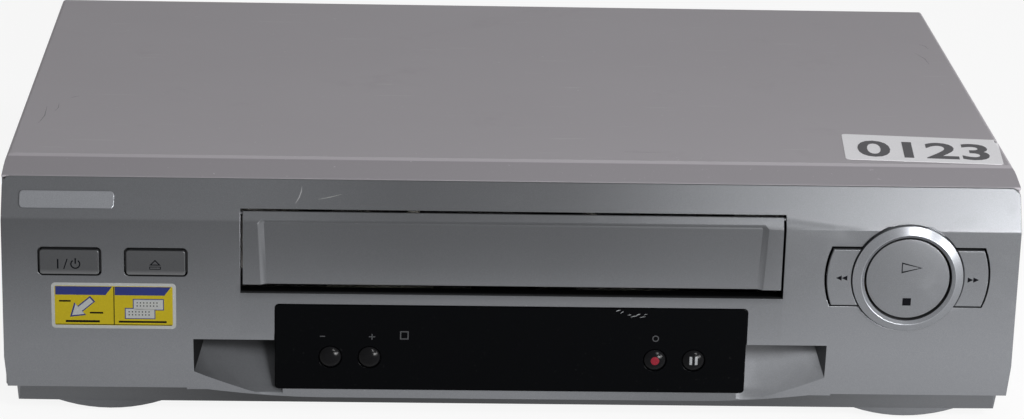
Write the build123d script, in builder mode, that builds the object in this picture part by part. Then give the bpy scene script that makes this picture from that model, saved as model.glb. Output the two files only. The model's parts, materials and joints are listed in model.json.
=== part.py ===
from build123d import *
import os
from math import atan2, cos, degrees, hypot, pi, radians, sin, tan

os.makedirs("parts", exist_ok=True)

# A front-loading cassette recorder. Lengths are in millimetres. X runs to the right as
# seen from the front, Y runs from the front to the back and Z is the height above the
# floor. Depths are measured backwards from the crease across the front panel.

# ---------------------------------------------------------------- driving dimensions

# Steel cover and rear panel
CASE_WIDTH = 355.0
CASE_HEIGHT = 90.0
CASE_DEPTH = 242.0
SHEET = 1.0
SEAM = 0.3
COVER_BEND_RADIUS = 1.6
ROOF_BEND_DEPTH = 25.5
ROOF_FRONT_DEPTH = 8.3
ROOF_FRONT_DROP = 2.9
COVER_SIDE_FRONT = 9.5
COVER_LOWER_EDGE = 9.5
COVER_FLANGE = 10.0
REAR_PANEL_INSET = 1.2

# Base tray
TRAY_UNDERSIDE = 7.0
TRAY_FLOOR = 1.8
TRAY_WALL_TOP = 26.0
TRAY_FRONT_DEPTH = 21.0
TRAY_TONGUE_DEPTH = 11.0
TRAY_TONGUE_INSET = 27.5
VENT_LENGTH = 26.0
VENT_WIDTH = 3.0
VENT_PITCH = 8.0
VENT_COUNT = 8
VENT_DEPTH = 170.0
REAR_VENT_HEIGHT = 54.5

# Front panel outline, seen from the side and from the front
PANEL_WALL = 2.5
PANEL_REAR = 20.0
PANEL_CORNER = 3.0
BAND_HEIGHT = 13.8
BAND_TOP_STEP = 0.1
BAND_TOP_DEPTH = 7.5
BAND_EDGE = 0.6
PANEL_FLANGE_GAP = 0.6
FACE_LEAN = 1.5
LOWER_CREASE_HEIGHT = 22.7
LOWER_LEAN = 3.0
LOWER_TUCK = 1.0
LIP_HEIGHT = 11.7
LIP_MIDDLE_HEIGHT = 8.5
LIP_BEND_X = 111.0
LIP_MIDDLE_X = 66.8
SKIRT_INSET = 4.0
SKIRT_STEP = 1.3
SKIRT_BOTTOM = 4.2
SKIRT_BOTTOM_DEPTH = 8.5

# Feet
LOBE_INSET = 36.5
LOBE_SPAN = 36.5
LOBE_BOTTOM = 1.2
PAD_WIDTH = 14.0
PAD_DEPTH = 6.5
PAD_THICKNESS = 2.0
REAR_FOOT_RADIUS = 11.0
REAR_FOOT_FLARE = 0.5
REAR_FOOT_INSET = 24.0

# Cassette opening and its flap
DOOR_SIDE_GAP = 1.0
DOOR_RISE = 4.5
DOOR_OPENING_HEIGHT = 30.2
SILL_DEPTH = 8.0
COLLAR_WALL = 2.5
FLAP_SIDE_GAP = 0.75
FLAP_TOP_GAP = 0.7
FLAP_SILL_GAP = 3.1
FLAP_WALL = 2.0
FLAP_TOP_EDGE = 0.8
FLAP_SHOULDER = 1.0
FLAP_RECESS = 1.1
FLAP_RECESS_RISE = 1.4
FLAP_RECESS_INSET = 5.2
FLAP_BEVEL = 2.1
HINGE_DEPTH = 2.9
HINGE_DROP = 1.7
HINGE_PIN_RADIUS = 0.8
HINGE_PIN_REACH = 2.8
RUNNING_CLEARANCE = 0.05
SPRING_COIL_RADIUS = 1.6
SPRING_WIRE_RADIUS = 0.25
SPRING_TURNS = 4
SPRING_DEPTH = 11.0
SPRING_RISE = 3.3

# Smoked window and the scooped pockets beside it
WINDOW_WIDTH = 165.4
WINDOW_SILL_GAP = 4.1
WINDOW_BOTTOM = 11.8
WINDOW_CORNER = 1.4
WINDOW_WALL = 2.2
WINDOW_PROUD = 0.3
WINDOW_REAR = 9.5
WINDOW_FIT = 0.15
POCKET_HALF_WIDTH = 111.2
POCKET_CEILING = 30.1
POCKET_DEPTH = 8.0
POCKET_END_SLANT = 4.0
POCKET_FLOOR = [(116.0, 20.4), (111.2, 18.0), (105.0, 15.5), (97.5, 12.8), (89.0, 10.1), (80.0, 9.6)]
POCKET_BACKING = 2.4

# Rectangular keys
RECT_KEY_WIDTH = 20.5
RECT_KEY_HEIGHT = 9.0
RECT_KEY_CORNER = 1.0
RECT_KEY_SPACING = 29.8
RECT_KEY_SHIFT = 2.925
RECT_KEY_DROP = 14.7
KEY_GAP = 0.7
KEY_PROUD = 0.8
KEY_TRAVEL = 0.8
KEY_REST_GAP = 0.1
KEY_FLANGE = 1.5
KEY_FLANGE_WALL = 1.2
KEY_EDGE_RADIUS = 0.4
STEM_RADIUS = 1.6

# Transport keys
RING_SHIFT = 2.125
RING_DROP = 17.1
RING_OUTER_RADIUS = 19.5
RING_INNER_RADIUS = 15.4
RING_PROUD = 3.2
RING_BEVEL = 1.2
RING_SLOPE = 1.7
RING_SEAT_RADIUS = 18.6
RING_SPIGOT = 6.0
RING_GROOVE = 0.5
RING_GROOVE_DEPTH = 0.8
DISC_GAP = 0.8
DISC_PROUD = 2.0
DISC_CROWN = 0.6
DISC_WALL = 2.6
DISC_PIVOT_DEPTH = 3.2
DISC_PIVOT_RADIUS = 1.2
DISC_PIVOT_REACH = 1.8
DISC_STEM_OFFSET = 9.0
DISC_TILT = 3.0
WING_RADIUS = 28.4
WING_HEIGHT = 20.8
WING_PROUD = 0.9
WING_STEM_OFFSET = 23.5

# Round keys in the window
ROUND_KEY_RADIUS = 3.85
ROUND_KEY_GAP = 0.25
ROUND_KEY_PROUD = 1.3
ROUND_KEY_Z = 24.0
ROUND_KEY_XS = {"down": -63.4, "up": -49.7, "record": 50.7, "pause": 64.3}

# Front circuit boards and their switches
BOARD_WALL = 1.6
FRONT_BOARD_DEPTH = 12.5
FRONT_BOARD_INSET = 6.2
DOOR_BOARD_GAP = 9.25
KEY_BOARD_ABOVE = 13.5
KEY_BOARD_BELOW = 15.5
RING_BOARD_REACH = 19.0
DISPLAY_BOARD_INSET = 1.75
DISPLAY_BOARD_BOTTOM = 10.0
SWITCH_SIZE = 6.0
SWITCH_HEIGHT = 3.4
PLUNGER_RADIUS = 1.7
PLUNGER_HEIGHT = 0.8
BOSS_RADIUS = 2.5
BOSS_INSET = 3.5
DISPLAY_WIDTH = 62.0
DISPLAY_HEIGHT = 16.0
DISPLAY_WALL = 6.0

# Cassette and the way it travels
CASSETTE_WIDTH = 187.5
CASSETTE_DEPTH = 104.0
CASSETTE_HEIGHT = 25.0
CASSETTE_LOADED_DEPTH = 30.0
CASSETTE_ENTRY_STEP = 0.6
CASSETTE_LOADED_HEIGHT = 28.1
CASSETTE_OUT = 31.0
HOLDER_FRONT = 30.0
HOLDER_SIDE_GAP = 0.75
HOLDER_WALL = 1.2
HOLDER_LEDGE = 10.0
HOLDER_STOP_HEIGHT = 10.0
HOLDER_ROOF_FRONT = 36.0
HOLDER_HEADROOM = 1.0
HOLDER_PIN_RADIUS = 1.5
HOLDER_PIN_RISE = 17.9
HOLDER_PIN_INSET = 6.5
GUIDE_GAP = 1.8
GUIDE_WALL = 1.2
GUIDE_REAR = 142.0
GUIDE_HEADROOM = 3.2
GUIDE_FLANGE = 9.0
GUIDE_WINDOW_GAP = 1.0
CARRIAGE_WALL = 1.2
CARRIAGE_LEG_WIDTH = 14.0
CARRIAGE_GAP = 0.4

# Tape deck
DECK_TOP = 22.0
DECK_WALL = 1.6
DECK_WIDTH = 200.0
DECK_FRONT = 17.5
DECK_REAR = 215.0
DECK_POST_RADIUS = 4.0
DECK_POST_X = 88.0
DECK_POST_INSET = 7.0
TURNING_GAP = 0.4
REEL_SPACING = 92.0
REEL_DEPTH = 77.0
REEL_RADIUS = 20.0
REEL_DISC = 3.0
REEL_HUB_RADIUS = 9.0
REEL_HUB_TOP = 32.0
SPINDLE_RADIUS = 4.0
SPINDLE_TOP = 40.0
SPINDLE_FINS = 3
SPINDLE_FIN_WIDTH = 1.6
SPINDLE_FIN_REACH = 6.0
SHAFT_RADIUS = 1.5
CLUTCH_RADIUS = 12.0
CLUTCH_HUB_RADIUS = 4.5
CLUTCH_DEPTH = 104.0
DRIVE_WHEEL_RADIUS = 11.5
IDLER_RADIUS = 12.0
IDLER_ARM_WALL = 1.5
IDLER_ARM_WIDTH = 7.0
DRUM_DEPTH = 182.0
DRUM_RADIUS = 31.0
DRUM_TILT = 6.0
DRUM_LOWER_HEIGHT = 16.0
DRUM_UPPER_HEIGHT = 15.0
DRUM_GAP = 0.3
DRUM_EDGE_RADIUS = 1.0
DRUM_SHAFT_RADIUS = 3.0
DRUM_FOOT_HEIGHT = 7.0
DRUM_FOOT_RADIUS = 24.0
HEAD_NOTCH_WIDTH = 5.0
HEAD_NOTCH_HEIGHT = 3.0
ROTOR_RADIUS = 19.0
ROTOR_HEIGHT = 5.0
CAPSTAN_X = 54.0
CAPSTAN_DEPTH = 148.0
CAPSTAN_TOP = 52.0
CAPSTAN_HOUSING_RADIUS = 5.0
CAPSTAN_HOUSING_TOP = 29.4
FLYWHEEL_RADIUS = 23.0
FLYWHEEL_HEIGHT = 4.0
FLYWHEEL_GAP = 0.6
PULLEY_HEIGHT = 3.0
CAPSTAN_PULLEY_RADIUS = 6.0
BELT_WALL = 1.0
BELT_WIDTH = 2.2
BELT_GAP = 0.3
PINCH_PIVOT_X = 82.0
PINCH_PIVOT_DEPTH = 150.0
PINCH_ARM_REACH = 22.0
PINCH_ARM_ANGLE = 118.0
PINCH_ARM_WIDTH = 8.0
PINCH_ARM_BOTTOM = 30.4
PINCH_ARM_WALL = 2.0
PINCH_ROLLER_RADIUS = 7.0
PINCH_ROLLER_HEIGHT = 16.0
POST_START_X = 34.0
POST_START_DEPTH = 120.0
POST_END_X = 42.0
POST_END_DEPTH = 170.0
POST_BASE_LENGTH = 12.0
POST_BASE_WIDTH = 9.0
POST_BASE_WALL = 4.0
POST_RADIUS = 2.8
POST_HEIGHT = 20.0
POST_SLOT_WIDTH = 3.4
HEAD_WIDTH = 12.0
HEAD_THICKNESS = 8.0
HEAD_HEIGHT = 18.0
ERASE_HEAD_X = -60.0
ERASE_HEAD_DEPTH = 158.0
SOUND_HEAD_X = 54.0
SOUND_HEAD_DEPTH = 192.0
SOUND_HEAD_TURN = 20.0
MOTOR_RADIUS = 12.0
MOTOR_HEIGHT = 10.0
MOTOR_X = -84.0
MOTOR_DEPTH = 186.0
GEAR_MODULE = 1.0
GEAR_ADDENDUM = 0.85
GEAR_DEDENDUM = 1.25
GEAR_PRESSURE_ANGLE = 20.0
GEAR_BACKLASH = 0.35
GEAR_FACE = 4.0
GEAR_HUB_RADIUS = 4.0
GEAR_HUB_HEIGHT = 3.0
PINION_TEETH = 16
CAM_TEETH = 24
LINK_TEETH = 16
LINK_DIRECTION = 45.0

# Boards and rear sockets
MAIN_BOARD_HEIGHT = 13.0
MAIN_BOARD_GAP = 3.0
MAIN_BOARD_WING_X = 106.0
MAIN_BOARD_WING_FRONT = 40.0
SIDE_BOARD_INSET = 5.5
BOARD_REAR_GAP = 5.0
SUPPLY_BOARD_FRONT = 120.0
BOARD_POST_INSET = 8.0
TRANSFORMER_CORE = (34.0, 28.0, 8.0)
TRANSFORMER_COIL = (24.0, 20.0, 24.0)
TRANSFORMER_ACROSS = 6.0
TRANSFORMER_BACK = 42.0
LARGE_CAPACITOR = (13.0, 16.0, 11.0, 30.0)
SMALL_CAPACITORS = [(21.0, 14.0, 5.0, 20.0), (11.0, 80.0, 5.0, 16.0), (25.0, 78.0, 4.0, 14.0)]
HEAT_SINK_BACK = 55.0
HEAT_SINK_LENGTH = 46.0
HEAT_SINK_HEIGHT = 36.0
HEAT_SINK_WALL = 2.0
HEAT_SINK_FIN = 9.0
HEAT_SINK_FINS = 6
SCART_WIDTH = 47.0
SCART_HEIGHT = 13.0
SCART_BODY = 14.0
SCART_PROUD = 2.0
SCART_FLANGE = 2.0
SCART_XS = (-28.0, 36.0)
SCART_Z = 24.0
SOCKET_SHIFT = 1.0
TUNER_WIDTH = 44.0
TUNER_HEIGHT = 54.0
TUNER_LENGTH = 70.0
COAX_RADIUS = 4.75
COAX_WALL = 0.8
COAX_PROUD = 9.0
COAX_SPACING = 20.0
COAX_LOW = 30.0
INLET_Z = 30.0
INLET_WIDTH = 22.0
INLET_HEIGHT = 15.0
INLET_BODY = 16.0
INLET_LEG_INSET = 11.0
INLET_PROUD = 1.6
INLET_CAVITY_WIDTH = 15.4
INLET_CAVITY_HEIGHT = 8.0
INLET_CAVITY_DEPTH = 10.0
INLET_PIN_RADIUS = 1.2
INLET_PIN_SPACING = 8.6
SCREW_RADIUS = 1.4
SCREW_HEAD_RADIUS = 2.9
SCREW_HEAD_HEIGHT = 1.8
SCREW_LENGTH = 4.2
COVER_SCREW_INSET = 17.5
COVER_SCREW_DROP = 5.5

# ------------------------------------------------------------------- derived places

cover_inner_half = CASE_WIDTH / 2 - SHEET
tray_half = cover_inner_half - SEAM
tongue_half = CASE_WIDTH / 2 - TRAY_TONGUE_INSET
panel_half = CASE_WIDTH / 2 - SEAM
skirt_half = panel_half - SKIRT_INSET
lobe_x = CASE_WIDTH / 2 - LOBE_INSET
opening_half = CASSETTE_WIDTH / 2 + DOOR_SIDE_GAP
flap_half = opening_half - FLAP_SIDE_GAP
flap_recess_half = flap_half - FLAP_RECESS_INSET
room_middle = (opening_half + panel_half) / 2
power_key_x = -(room_middle + RECT_KEY_SHIFT + RECT_KEY_SPACING / 2)
eject_key_x = power_key_x + RECT_KEY_SPACING
ring_x = room_middle + RING_SHIFT

roof_front_height = CASE_HEIGHT - ROOF_FRONT_DROP
roof_front_underside = roof_front_height - SHEET
band_top_height = roof_front_height - BAND_TOP_STEP
panel_flange_height = roof_front_underside - PANEL_FLANGE_GAP
crease_height = band_top_height - BAND_HEIGHT
door_opening_top = crease_height + DOOR_RISE
sill_height = door_opening_top - DOOR_OPENING_HEIGHT
flap_top = door_opening_top - FLAP_TOP_GAP
flap_bottom = sill_height + FLAP_SILL_GAP
flap_recess_top = crease_height + FLAP_RECESS_RISE
hinge_height = door_opening_top - HINGE_DROP
spring_height = door_opening_top + SPRING_RISE
window_top = sill_height - WINDOW_SILL_GAP
rect_key_z = crease_height - RECT_KEY_DROP
ring_z = crease_height - RING_DROP

lean = radians(FACE_LEAN)
ring_radius_forward = (RING_OUTER_RADIUS - RING_BEVEL) * sin(lean)
ring_reach = RING_PROUD * cos(lean) + ring_radius_forward - (crease_height - ring_z) * tan(lean)
rear_reach = CASE_DEPTH + COAX_PROUD
FRONT_Y = (ring_reach - rear_reach) / 2

rear_panel_front = CASE_DEPTH - SHEET - REAR_PANEL_INSET
rear_foot_depth = CASE_DEPTH - REAR_FOOT_INSET
cover_screw_x = CASE_WIDTH / 2 - COVER_SCREW_INSET
cover_screw_xs = (-cover_screw_x, 0.0, cover_screw_x)
cover_screw_z = CASE_HEIGHT - COVER_SCREW_DROP
roof_slope = (CASE_HEIGHT - roof_front_height) / (ROOF_BEND_DEPTH - ROOF_FRONT_DEPTH)
tray_floor_top = TRAY_UNDERSIDE + TRAY_FLOOR
cassette_entry_height = sill_height + CASSETTE_ENTRY_STEP
cassette_drop = cassette_entry_height - CASSETTE_LOADED_HEIGHT
holder_inner_half = CASSETTE_WIDTH / 2 + HOLDER_SIDE_GAP
holder_outer_half = holder_inner_half + HOLDER_WALL
holder_stop = CASSETTE_DEPTH - CASSETTE_OUT
guide_inner_half = holder_outer_half + GUIDE_GAP
guide_outer_half = guide_inner_half + GUIDE_WALL
holder_floor = cassette_entry_height - HOLDER_WALL
holder_ceiling = cassette_entry_height + CASSETTE_HEIGHT + HOLDER_HEADROOM
holder_pin_height = cassette_entry_height + HOLDER_PIN_RISE
holder_travel = CASSETTE_LOADED_DEPTH + CASSETTE_OUT
guide_top = holder_ceiling + HOLDER_WALL + GUIDE_HEADROOM
side_board_edge = CASE_WIDTH / 2 - SIDE_BOARD_INSET
wing_centre_x = (MAIN_BOARD_WING_X + side_board_edge) / 2
main_board_front = DECK_REAR + MAIN_BOARD_GAP
board_rear = CASE_DEPTH - BOARD_REAR_GAP
tuner_x = wing_centre_x + SOCKET_SHIFT
inlet_x = -tuner_x
inlet_leg_depth = CASE_DEPTH - INLET_LEG_INSET
switch_tip_depth = FRONT_BOARD_DEPTH - SWITCH_HEIGHT - PLUNGER_HEIGHT


def at_depth(depth):
    """Y of a point that lies a depth behind the front crease."""
    return FRONT_Y + depth


def from_side(points):
    """Turns (depth, height) pairs into points of the YZ plane."""
    return [(at_depth(depth), height) for depth, height in points]


def panel_depth(height):
    """Depth of the front surface of the panel at a height."""
    if height > crease_height:
        return (height - crease_height) * BAND_TOP_DEPTH / (band_top_height - crease_height)
    upper = crease_height - max(height, LOWER_CREASE_HEIGHT)
    lower = max(LOWER_CREASE_HEIGHT - height, 0.0)
    return upper * tan(lean) + lower * tan(radians(LOWER_LEAN))


def upright(depth):
    """Vertical plane that faces the front; its x is X and its y is the height."""
    return Plane(origin=(0, at_depth(depth), 0), x_dir=(1, 0, 0), z_dir=(0, -1, 0))


def on_face(x, height, behind=0.0):
    """Plane on the leaning main face, centred on a key, facing outwards."""
    origin = (x, at_depth(panel_depth(height)), height)
    return Plane(origin=origin, x_dir=(1, 0, 0), z_dir=(0, -cos(lean), -sin(lean))).offset(-behind)


def through_axis(x, height):
    """Plane through the axis of a round key: its x is the radius, its y runs inwards."""
    face = on_face(x, height)
    return Plane(origin=face.origin, x_dir=(1, 0, 0), z_dir=face.y_dir)


def inwards(x, height):
    """Axis of a round key, pointing into the machine."""
    face = on_face(x, height)
    return Axis(face.origin, face.z_dir * -1)


def stem_length(height, start, travel):
    """Length of a key's stem that ends just short of its switch when fully pressed."""
    reach = (switch_tip_depth - panel_depth(height)) / cos(lean)
    return reach - start - travel - KEY_REST_GAP


def save(part, name):
    """Labels a finished piece and writes it as its own file."""
    part.label = name
    export_step(part, "parts/" + name + ".step")


# ------------------------------------------------------------------------ top cover

with BuildPart() as top_cover:
    with BuildSketch(Plane.YZ):
        with BuildLine():
            Polyline(
                *from_side(
                    [
                        (ROOF_FRONT_DEPTH, roof_front_underside),
                        (ROOF_FRONT_DEPTH, roof_front_height),
                        (ROOF_BEND_DEPTH, CASE_HEIGHT),
                        (CASE_DEPTH, CASE_HEIGHT),
                        (CASE_DEPTH, COVER_LOWER_EDGE),
                        (COVER_SIDE_FRONT, COVER_LOWER_EDGE),
                        (COVER_SIDE_FRONT, roof_front_underside),
                    ]
                ),
                close=True,
            )
        make_face()
    extrude(amount=CASE_WIDTH / 2, both=True)
    fillet(top_cover.edges().filter_by(Axis.Y).group_by(Axis.Z)[-1], COVER_BEND_RADIUS)
    before_bend = ROOF_FRONT_DEPTH - SHEET
    with BuildSketch(Plane.YZ):
        with BuildLine():
            Polyline(
                *from_side(
                    [
                        (before_bend, roof_front_underside - SHEET * roof_slope),
                        (ROOF_BEND_DEPTH, CASE_HEIGHT - SHEET),
                        (CASE_DEPTH - SHEET, CASE_HEIGHT - SHEET),
                        (CASE_DEPTH - SHEET, CASE_HEIGHT - COVER_FLANGE),
                        (CASE_DEPTH + SHEET, CASE_HEIGHT - COVER_FLANGE),
                        (CASE_DEPTH + SHEET, 0.0),
                        (before_bend, 0.0),
                    ]
                ),
                close=True,
            )
        make_face()
    extrude(amount=cover_inner_half, both=True, mode=Mode.SUBTRACT)
    with BuildSketch(upright(CASE_DEPTH + SHEET)):
        with Locations(*[(x, cover_screw_z) for x in cover_screw_xs]):
            Circle(SCREW_RADIUS + SEAM)
    extrude(amount=SHEET * 3, mode=Mode.SUBTRACT)
save(top_cover.part, "top_cover")

# ---------------------------------------------------------------------- front panel

face_points = [
    (BAND_TOP_DEPTH, band_top_height),
    (0.0, crease_height),
    (panel_depth(LOWER_CREASE_HEIGHT), LOWER_CREASE_HEIGHT),
]


def hollow_section(lower_points):
    """Inside of the moulding: the outer profile moved inwards by the wall."""
    outside_rear = PANEL_REAR + 2 * PANEL_WALL
    points = [(panel_depth(panel_flange_height), panel_flange_height)] + face_points[1:] + lower_points
    points += [(outside_rear, lower_points[-1][1]), (outside_rear, panel_flange_height)]
    with BuildSketch(Plane.YZ) as section:
        with BuildLine():
            Polyline(*from_side(points), close=True)
        make_face()
        offset(amount=-PANEL_WALL, kind=Kind.INTERSECTION, mode=Mode.REPLACE)
    return section.sketch


def pocket_void(side):
    """Scooped pocket: its back wall runs from the ceiling out to the curved floor line."""
    with BuildPart() as scoop:
        for x, floor in POCKET_FLOOR:
            front = panel_depth(floor)
            back = panel_depth(POCKET_CEILING) + POCKET_DEPTH
            out = front + PANEL_WALL
            fall = out * (POCKET_CEILING - floor) / (back - front)
            with BuildSketch(Plane.YZ.offset(side * x)):
                with BuildLine():
                    Polyline(
                        *from_side(
                            [
                                (front - out, floor - fall),
                                (back, POCKET_CEILING),
                                (front - out, POCKET_CEILING),
                            ]
                        ),
                        close=True,
                    )
                make_face()
        loft()
        end_front = (side * POCKET_HALF_WIDTH, at_depth(panel_depth(POCKET_CEILING)), POCKET_CEILING)
        end_slope = Vector(side * POCKET_DEPTH, POCKET_END_SLANT, 0)
        split(bisect_by=Plane(origin=end_front, z_dir=end_slope), keep=Keep.BOTTOM)
    return scoop.part


pocket_voids = [pocket_void(side) for side in (-1, 1)]
hollows = [
    (
        hollow_section([(panel_depth(LIP_HEIGHT), LIP_HEIGHT), (SKIRT_BOTTOM_DEPTH, SKIRT_BOTTOM)]),
        skirt_half - PANEL_WALL,
    ),
    (hollow_section([(panel_depth(LIP_HEIGHT), LIP_HEIGHT)]), panel_half - PANEL_WALL),
]
key_centres = [(power_key_x, rect_key_z), (eject_key_x, rect_key_z)]
display_half = opening_half - DISPLAY_BOARD_INSET
board_outlines = {
    "power_key_board": (
        (-panel_half + FRONT_BOARD_INSET, rect_key_z - KEY_BOARD_BELOW),
        (-opening_half - DOOR_BOARD_GAP, rect_key_z + KEY_BOARD_ABOVE),
    ),
    "display_board": ((-display_half, DISPLAY_BOARD_BOTTOM), (display_half, window_top)),
    "transport_key_board": (
        (opening_half + DOOR_BOARD_GAP, ring_z - RING_BOARD_REACH),
        (panel_half - FRONT_BOARD_INSET, ring_z + RING_BOARD_REACH),
    ),
}
display_boss_x = display_half - BOSS_INSET
board_bosses = [(side * display_boss_x, window_top - BOSS_INSET) for side in (-1, 1)]
for name in ("power_key_board", "transport_key_board"):
    (left, low), (right, high) = board_outlines[name]
    board_bosses += [(left + BOSS_INSET, high - BOSS_INSET), (right - BOSS_INSET, low + BOSS_INSET)]

with BuildPart() as front_panel:
    # Solid block with the creased front
    with BuildSketch(Plane.YZ):
        with BuildLine():
            Polyline(
                *from_side(
                    face_points
                    + [
                        (panel_depth(LIP_MIDDLE_HEIGHT), LIP_MIDDLE_HEIGHT),
                        (PANEL_REAR, LIP_MIDDLE_HEIGHT),
                        (PANEL_REAR, panel_flange_height),
                        (BAND_TOP_DEPTH + BAND_EDGE, panel_flange_height),
                        (BAND_TOP_DEPTH + BAND_EDGE, band_top_height),
                    ]
                ),
                close=True,
            )
        make_face()
    extrude(amount=panel_half, both=True)
    # Lower lip: it dips in an easy curve below the window
    with BuildSketch(upright(-PANEL_WALL)):
        with BuildLine():
            left_bend = (-LIP_BEND_X, LIP_HEIGHT)
            left_low = (-LIP_MIDDLE_X, LIP_MIDDLE_HEIGHT)
            right_low = (LIP_MIDDLE_X, LIP_MIDDLE_HEIGHT)
            right_bend = (LIP_BEND_X, LIP_HEIGHT)
            Polyline(left_bend, (-CASE_WIDTH, LIP_HEIGHT), (-CASE_WIDTH, 0.0), (CASE_WIDTH, 0.0))
            Polyline((CASE_WIDTH, 0.0), (CASE_WIDTH, LIP_HEIGHT), right_bend)
            Spline(left_bend, left_low, tangents=[(1, -0.12), (1, 0)])
            Line(left_low, right_low)
            Spline(right_low, right_bend, tangents=[(1, 0), (1, 0.12)])
        make_face()
    extrude(amount=-2 * PANEL_REAR, mode=Mode.SUBTRACT)
    # Outline seen from the front: rounded upper corners, sides tucked in at the bottom
    with BuildSketch(upright(-PANEL_WALL)) as outline:
        with BuildLine():
            Polyline(
                (-panel_half, LOWER_CREASE_HEIGHT),
                (-panel_half + LOWER_TUCK, LIP_HEIGHT),
                (-panel_half + LOWER_TUCK, 0.0),
                (panel_half - LOWER_TUCK, 0.0),
                (panel_half - LOWER_TUCK, LIP_HEIGHT),
                (panel_half, LOWER_CREASE_HEIGHT),
                (panel_half, band_top_height),
                (-panel_half, band_top_height),
                close=True,
            )
        make_face()
        fillet(outline.vertices().group_by(Axis.Y)[-1], PANEL_CORNER)
    extrude(amount=-2 * PANEL_REAR, mode=Mode.INTERSECT)
    # Set-back skirt under the lip
    skirt_top = LIP_HEIGHT + SKIRT_STEP
    skirt_front = panel_depth(LIP_HEIGHT) + SKIRT_STEP
    with BuildSketch(Plane.YZ):
        with BuildLine():
            Polyline(
                *from_side(
                    [
                        (skirt_front, skirt_top),
                        (SKIRT_BOTTOM_DEPTH, SKIRT_BOTTOM),
                        (PANEL_REAR, SKIRT_BOTTOM),
                        (PANEL_REAR, skirt_top),
                    ]
                ),
                close=True,
            )
        make_face()
    extrude(amount=skirt_half, both=True)
    for section, half_width in hollows:
        extrude(section, amount=half_width, both=True, mode=Mode.SUBTRACT)
    # Sides step in behind the cover's front edge
    with BuildSketch(upright(COVER_SIDE_FRONT - SEAM)):
        Rectangle(2 * CASE_WIDTH, 4 * CASE_HEIGHT)
        Rectangle(2 * tray_half, 4 * CASE_HEIGHT, mode=Mode.SUBTRACT)
    extrude(amount=-2 * PANEL_REAR, mode=Mode.SUBTRACT)
    # Foot lobes below the skirt
    with BuildSketch(upright(SKIRT_BOTTOM_DEPTH)):
        for side in (-1, 1):
            with BuildLine():
                left_end = (side * lobe_x - LOBE_SPAN / 2, SKIRT_BOTTOM)
                right_end = (side * lobe_x + LOBE_SPAN / 2, SKIRT_BOTTOM)
                ThreePointArc(left_end, (side * lobe_x, LOBE_BOTTOM), right_end)
                Line(right_end, left_end)
            make_face()
    extrude(amount=SKIRT_BOTTOM_DEPTH - PANEL_REAR)
    with BuildSketch(Plane.XY):
        with Locations(*[(side * lobe_x, at_depth(PANEL_REAR - PAD_DEPTH / 2)) for side in (-1, 1)]):
            Rectangle(PAD_WIDTH, PAD_DEPTH)
    extrude(amount=PAD_THICKNESS, mode=Mode.SUBTRACT)
    # Collar round the cassette opening, trimmed to the sloping band, and the pocket backing
    with BuildSketch(upright(PANEL_WALL)):
        with BuildLine():
            collar_half = opening_half + COLLAR_WALL
            collar_low = sill_height - COLLAR_WALL
            collar_high = door_opening_top + COLLAR_WALL
            Polyline(
                (-collar_half, collar_low),
                (collar_half, collar_low),
                (collar_half, collar_high),
                (-collar_half, collar_high),
                close=True,
            )
        make_face()
    extrude(amount=PANEL_WALL - SILL_DEPTH)
    with BuildSketch(Plane.YZ):
        with BuildLine():
            Polyline(
                *from_side(
                    [
                        (0.0, crease_height),
                        (BAND_TOP_DEPTH, band_top_height),
                        (-PANEL_WALL, band_top_height),
                        (-PANEL_WALL, crease_height),
                    ]
                ),
                close=True,
            )
        make_face()
    extrude(amount=collar_half, both=True, mode=Mode.SUBTRACT)
    backing_top = POCKET_CEILING + POCKET_BACKING
    backing_rear = panel_depth(POCKET_CEILING) + POCKET_DEPTH + POCKET_BACKING
    backing_foot = panel_depth(LIP_HEIGHT) + POCKET_BACKING + WINDOW_WALL
    with BuildSketch(Plane.YZ):
        with BuildLine():
            Polyline(
                *from_side(
                    [
                        (PANEL_WALL, backing_top),
                        (backing_rear, backing_top),
                        (backing_rear, POCKET_CEILING - POCKET_BACKING),
                        (backing_foot, LIP_MIDDLE_HEIGHT + POCKET_BACKING),
                        (PANEL_WALL, LIP_MIDDLE_HEIGHT + POCKET_BACKING),
                    ]
                ),
                close=True,
            )
        make_face()
    extrude(amount=POCKET_HALF_WIDTH + POCKET_BACKING, both=True)
    for void in pocket_voids:
        add(void, mode=Mode.SUBTRACT)
    # Openings for the flap and the window
    with BuildSketch(upright(-PANEL_WALL)):
        with BuildLine():
            Polyline(
                (-opening_half, sill_height),
                (opening_half, sill_height),
                (opening_half, door_opening_top),
                (-opening_half, door_opening_top),
                close=True,
            )
        make_face()
        with Locations((0, (window_top + WINDOW_BOTTOM) / 2)):
            RectangleRounded(
                WINDOW_WIDTH + 2 * WINDOW_FIT,
                window_top - WINDOW_BOTTOM + 2 * WINDOW_FIT,
                WINDOW_CORNER + WINDOW_FIT,
            )
    extrude(amount=-2 * PANEL_REAR, mode=Mode.SUBTRACT)
    with BuildSketch(Plane.YZ):
        with Locations((at_depth(HINGE_DEPTH), hinge_height)):
            Circle(HINGE_PIN_RADIUS + RUNNING_CLEARANCE)
    hinge_hole_half = flap_half + HINGE_PIN_REACH + SEAM
    extrude(amount=hinge_hole_half, both=True, mode=Mode.SUBTRACT)
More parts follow.
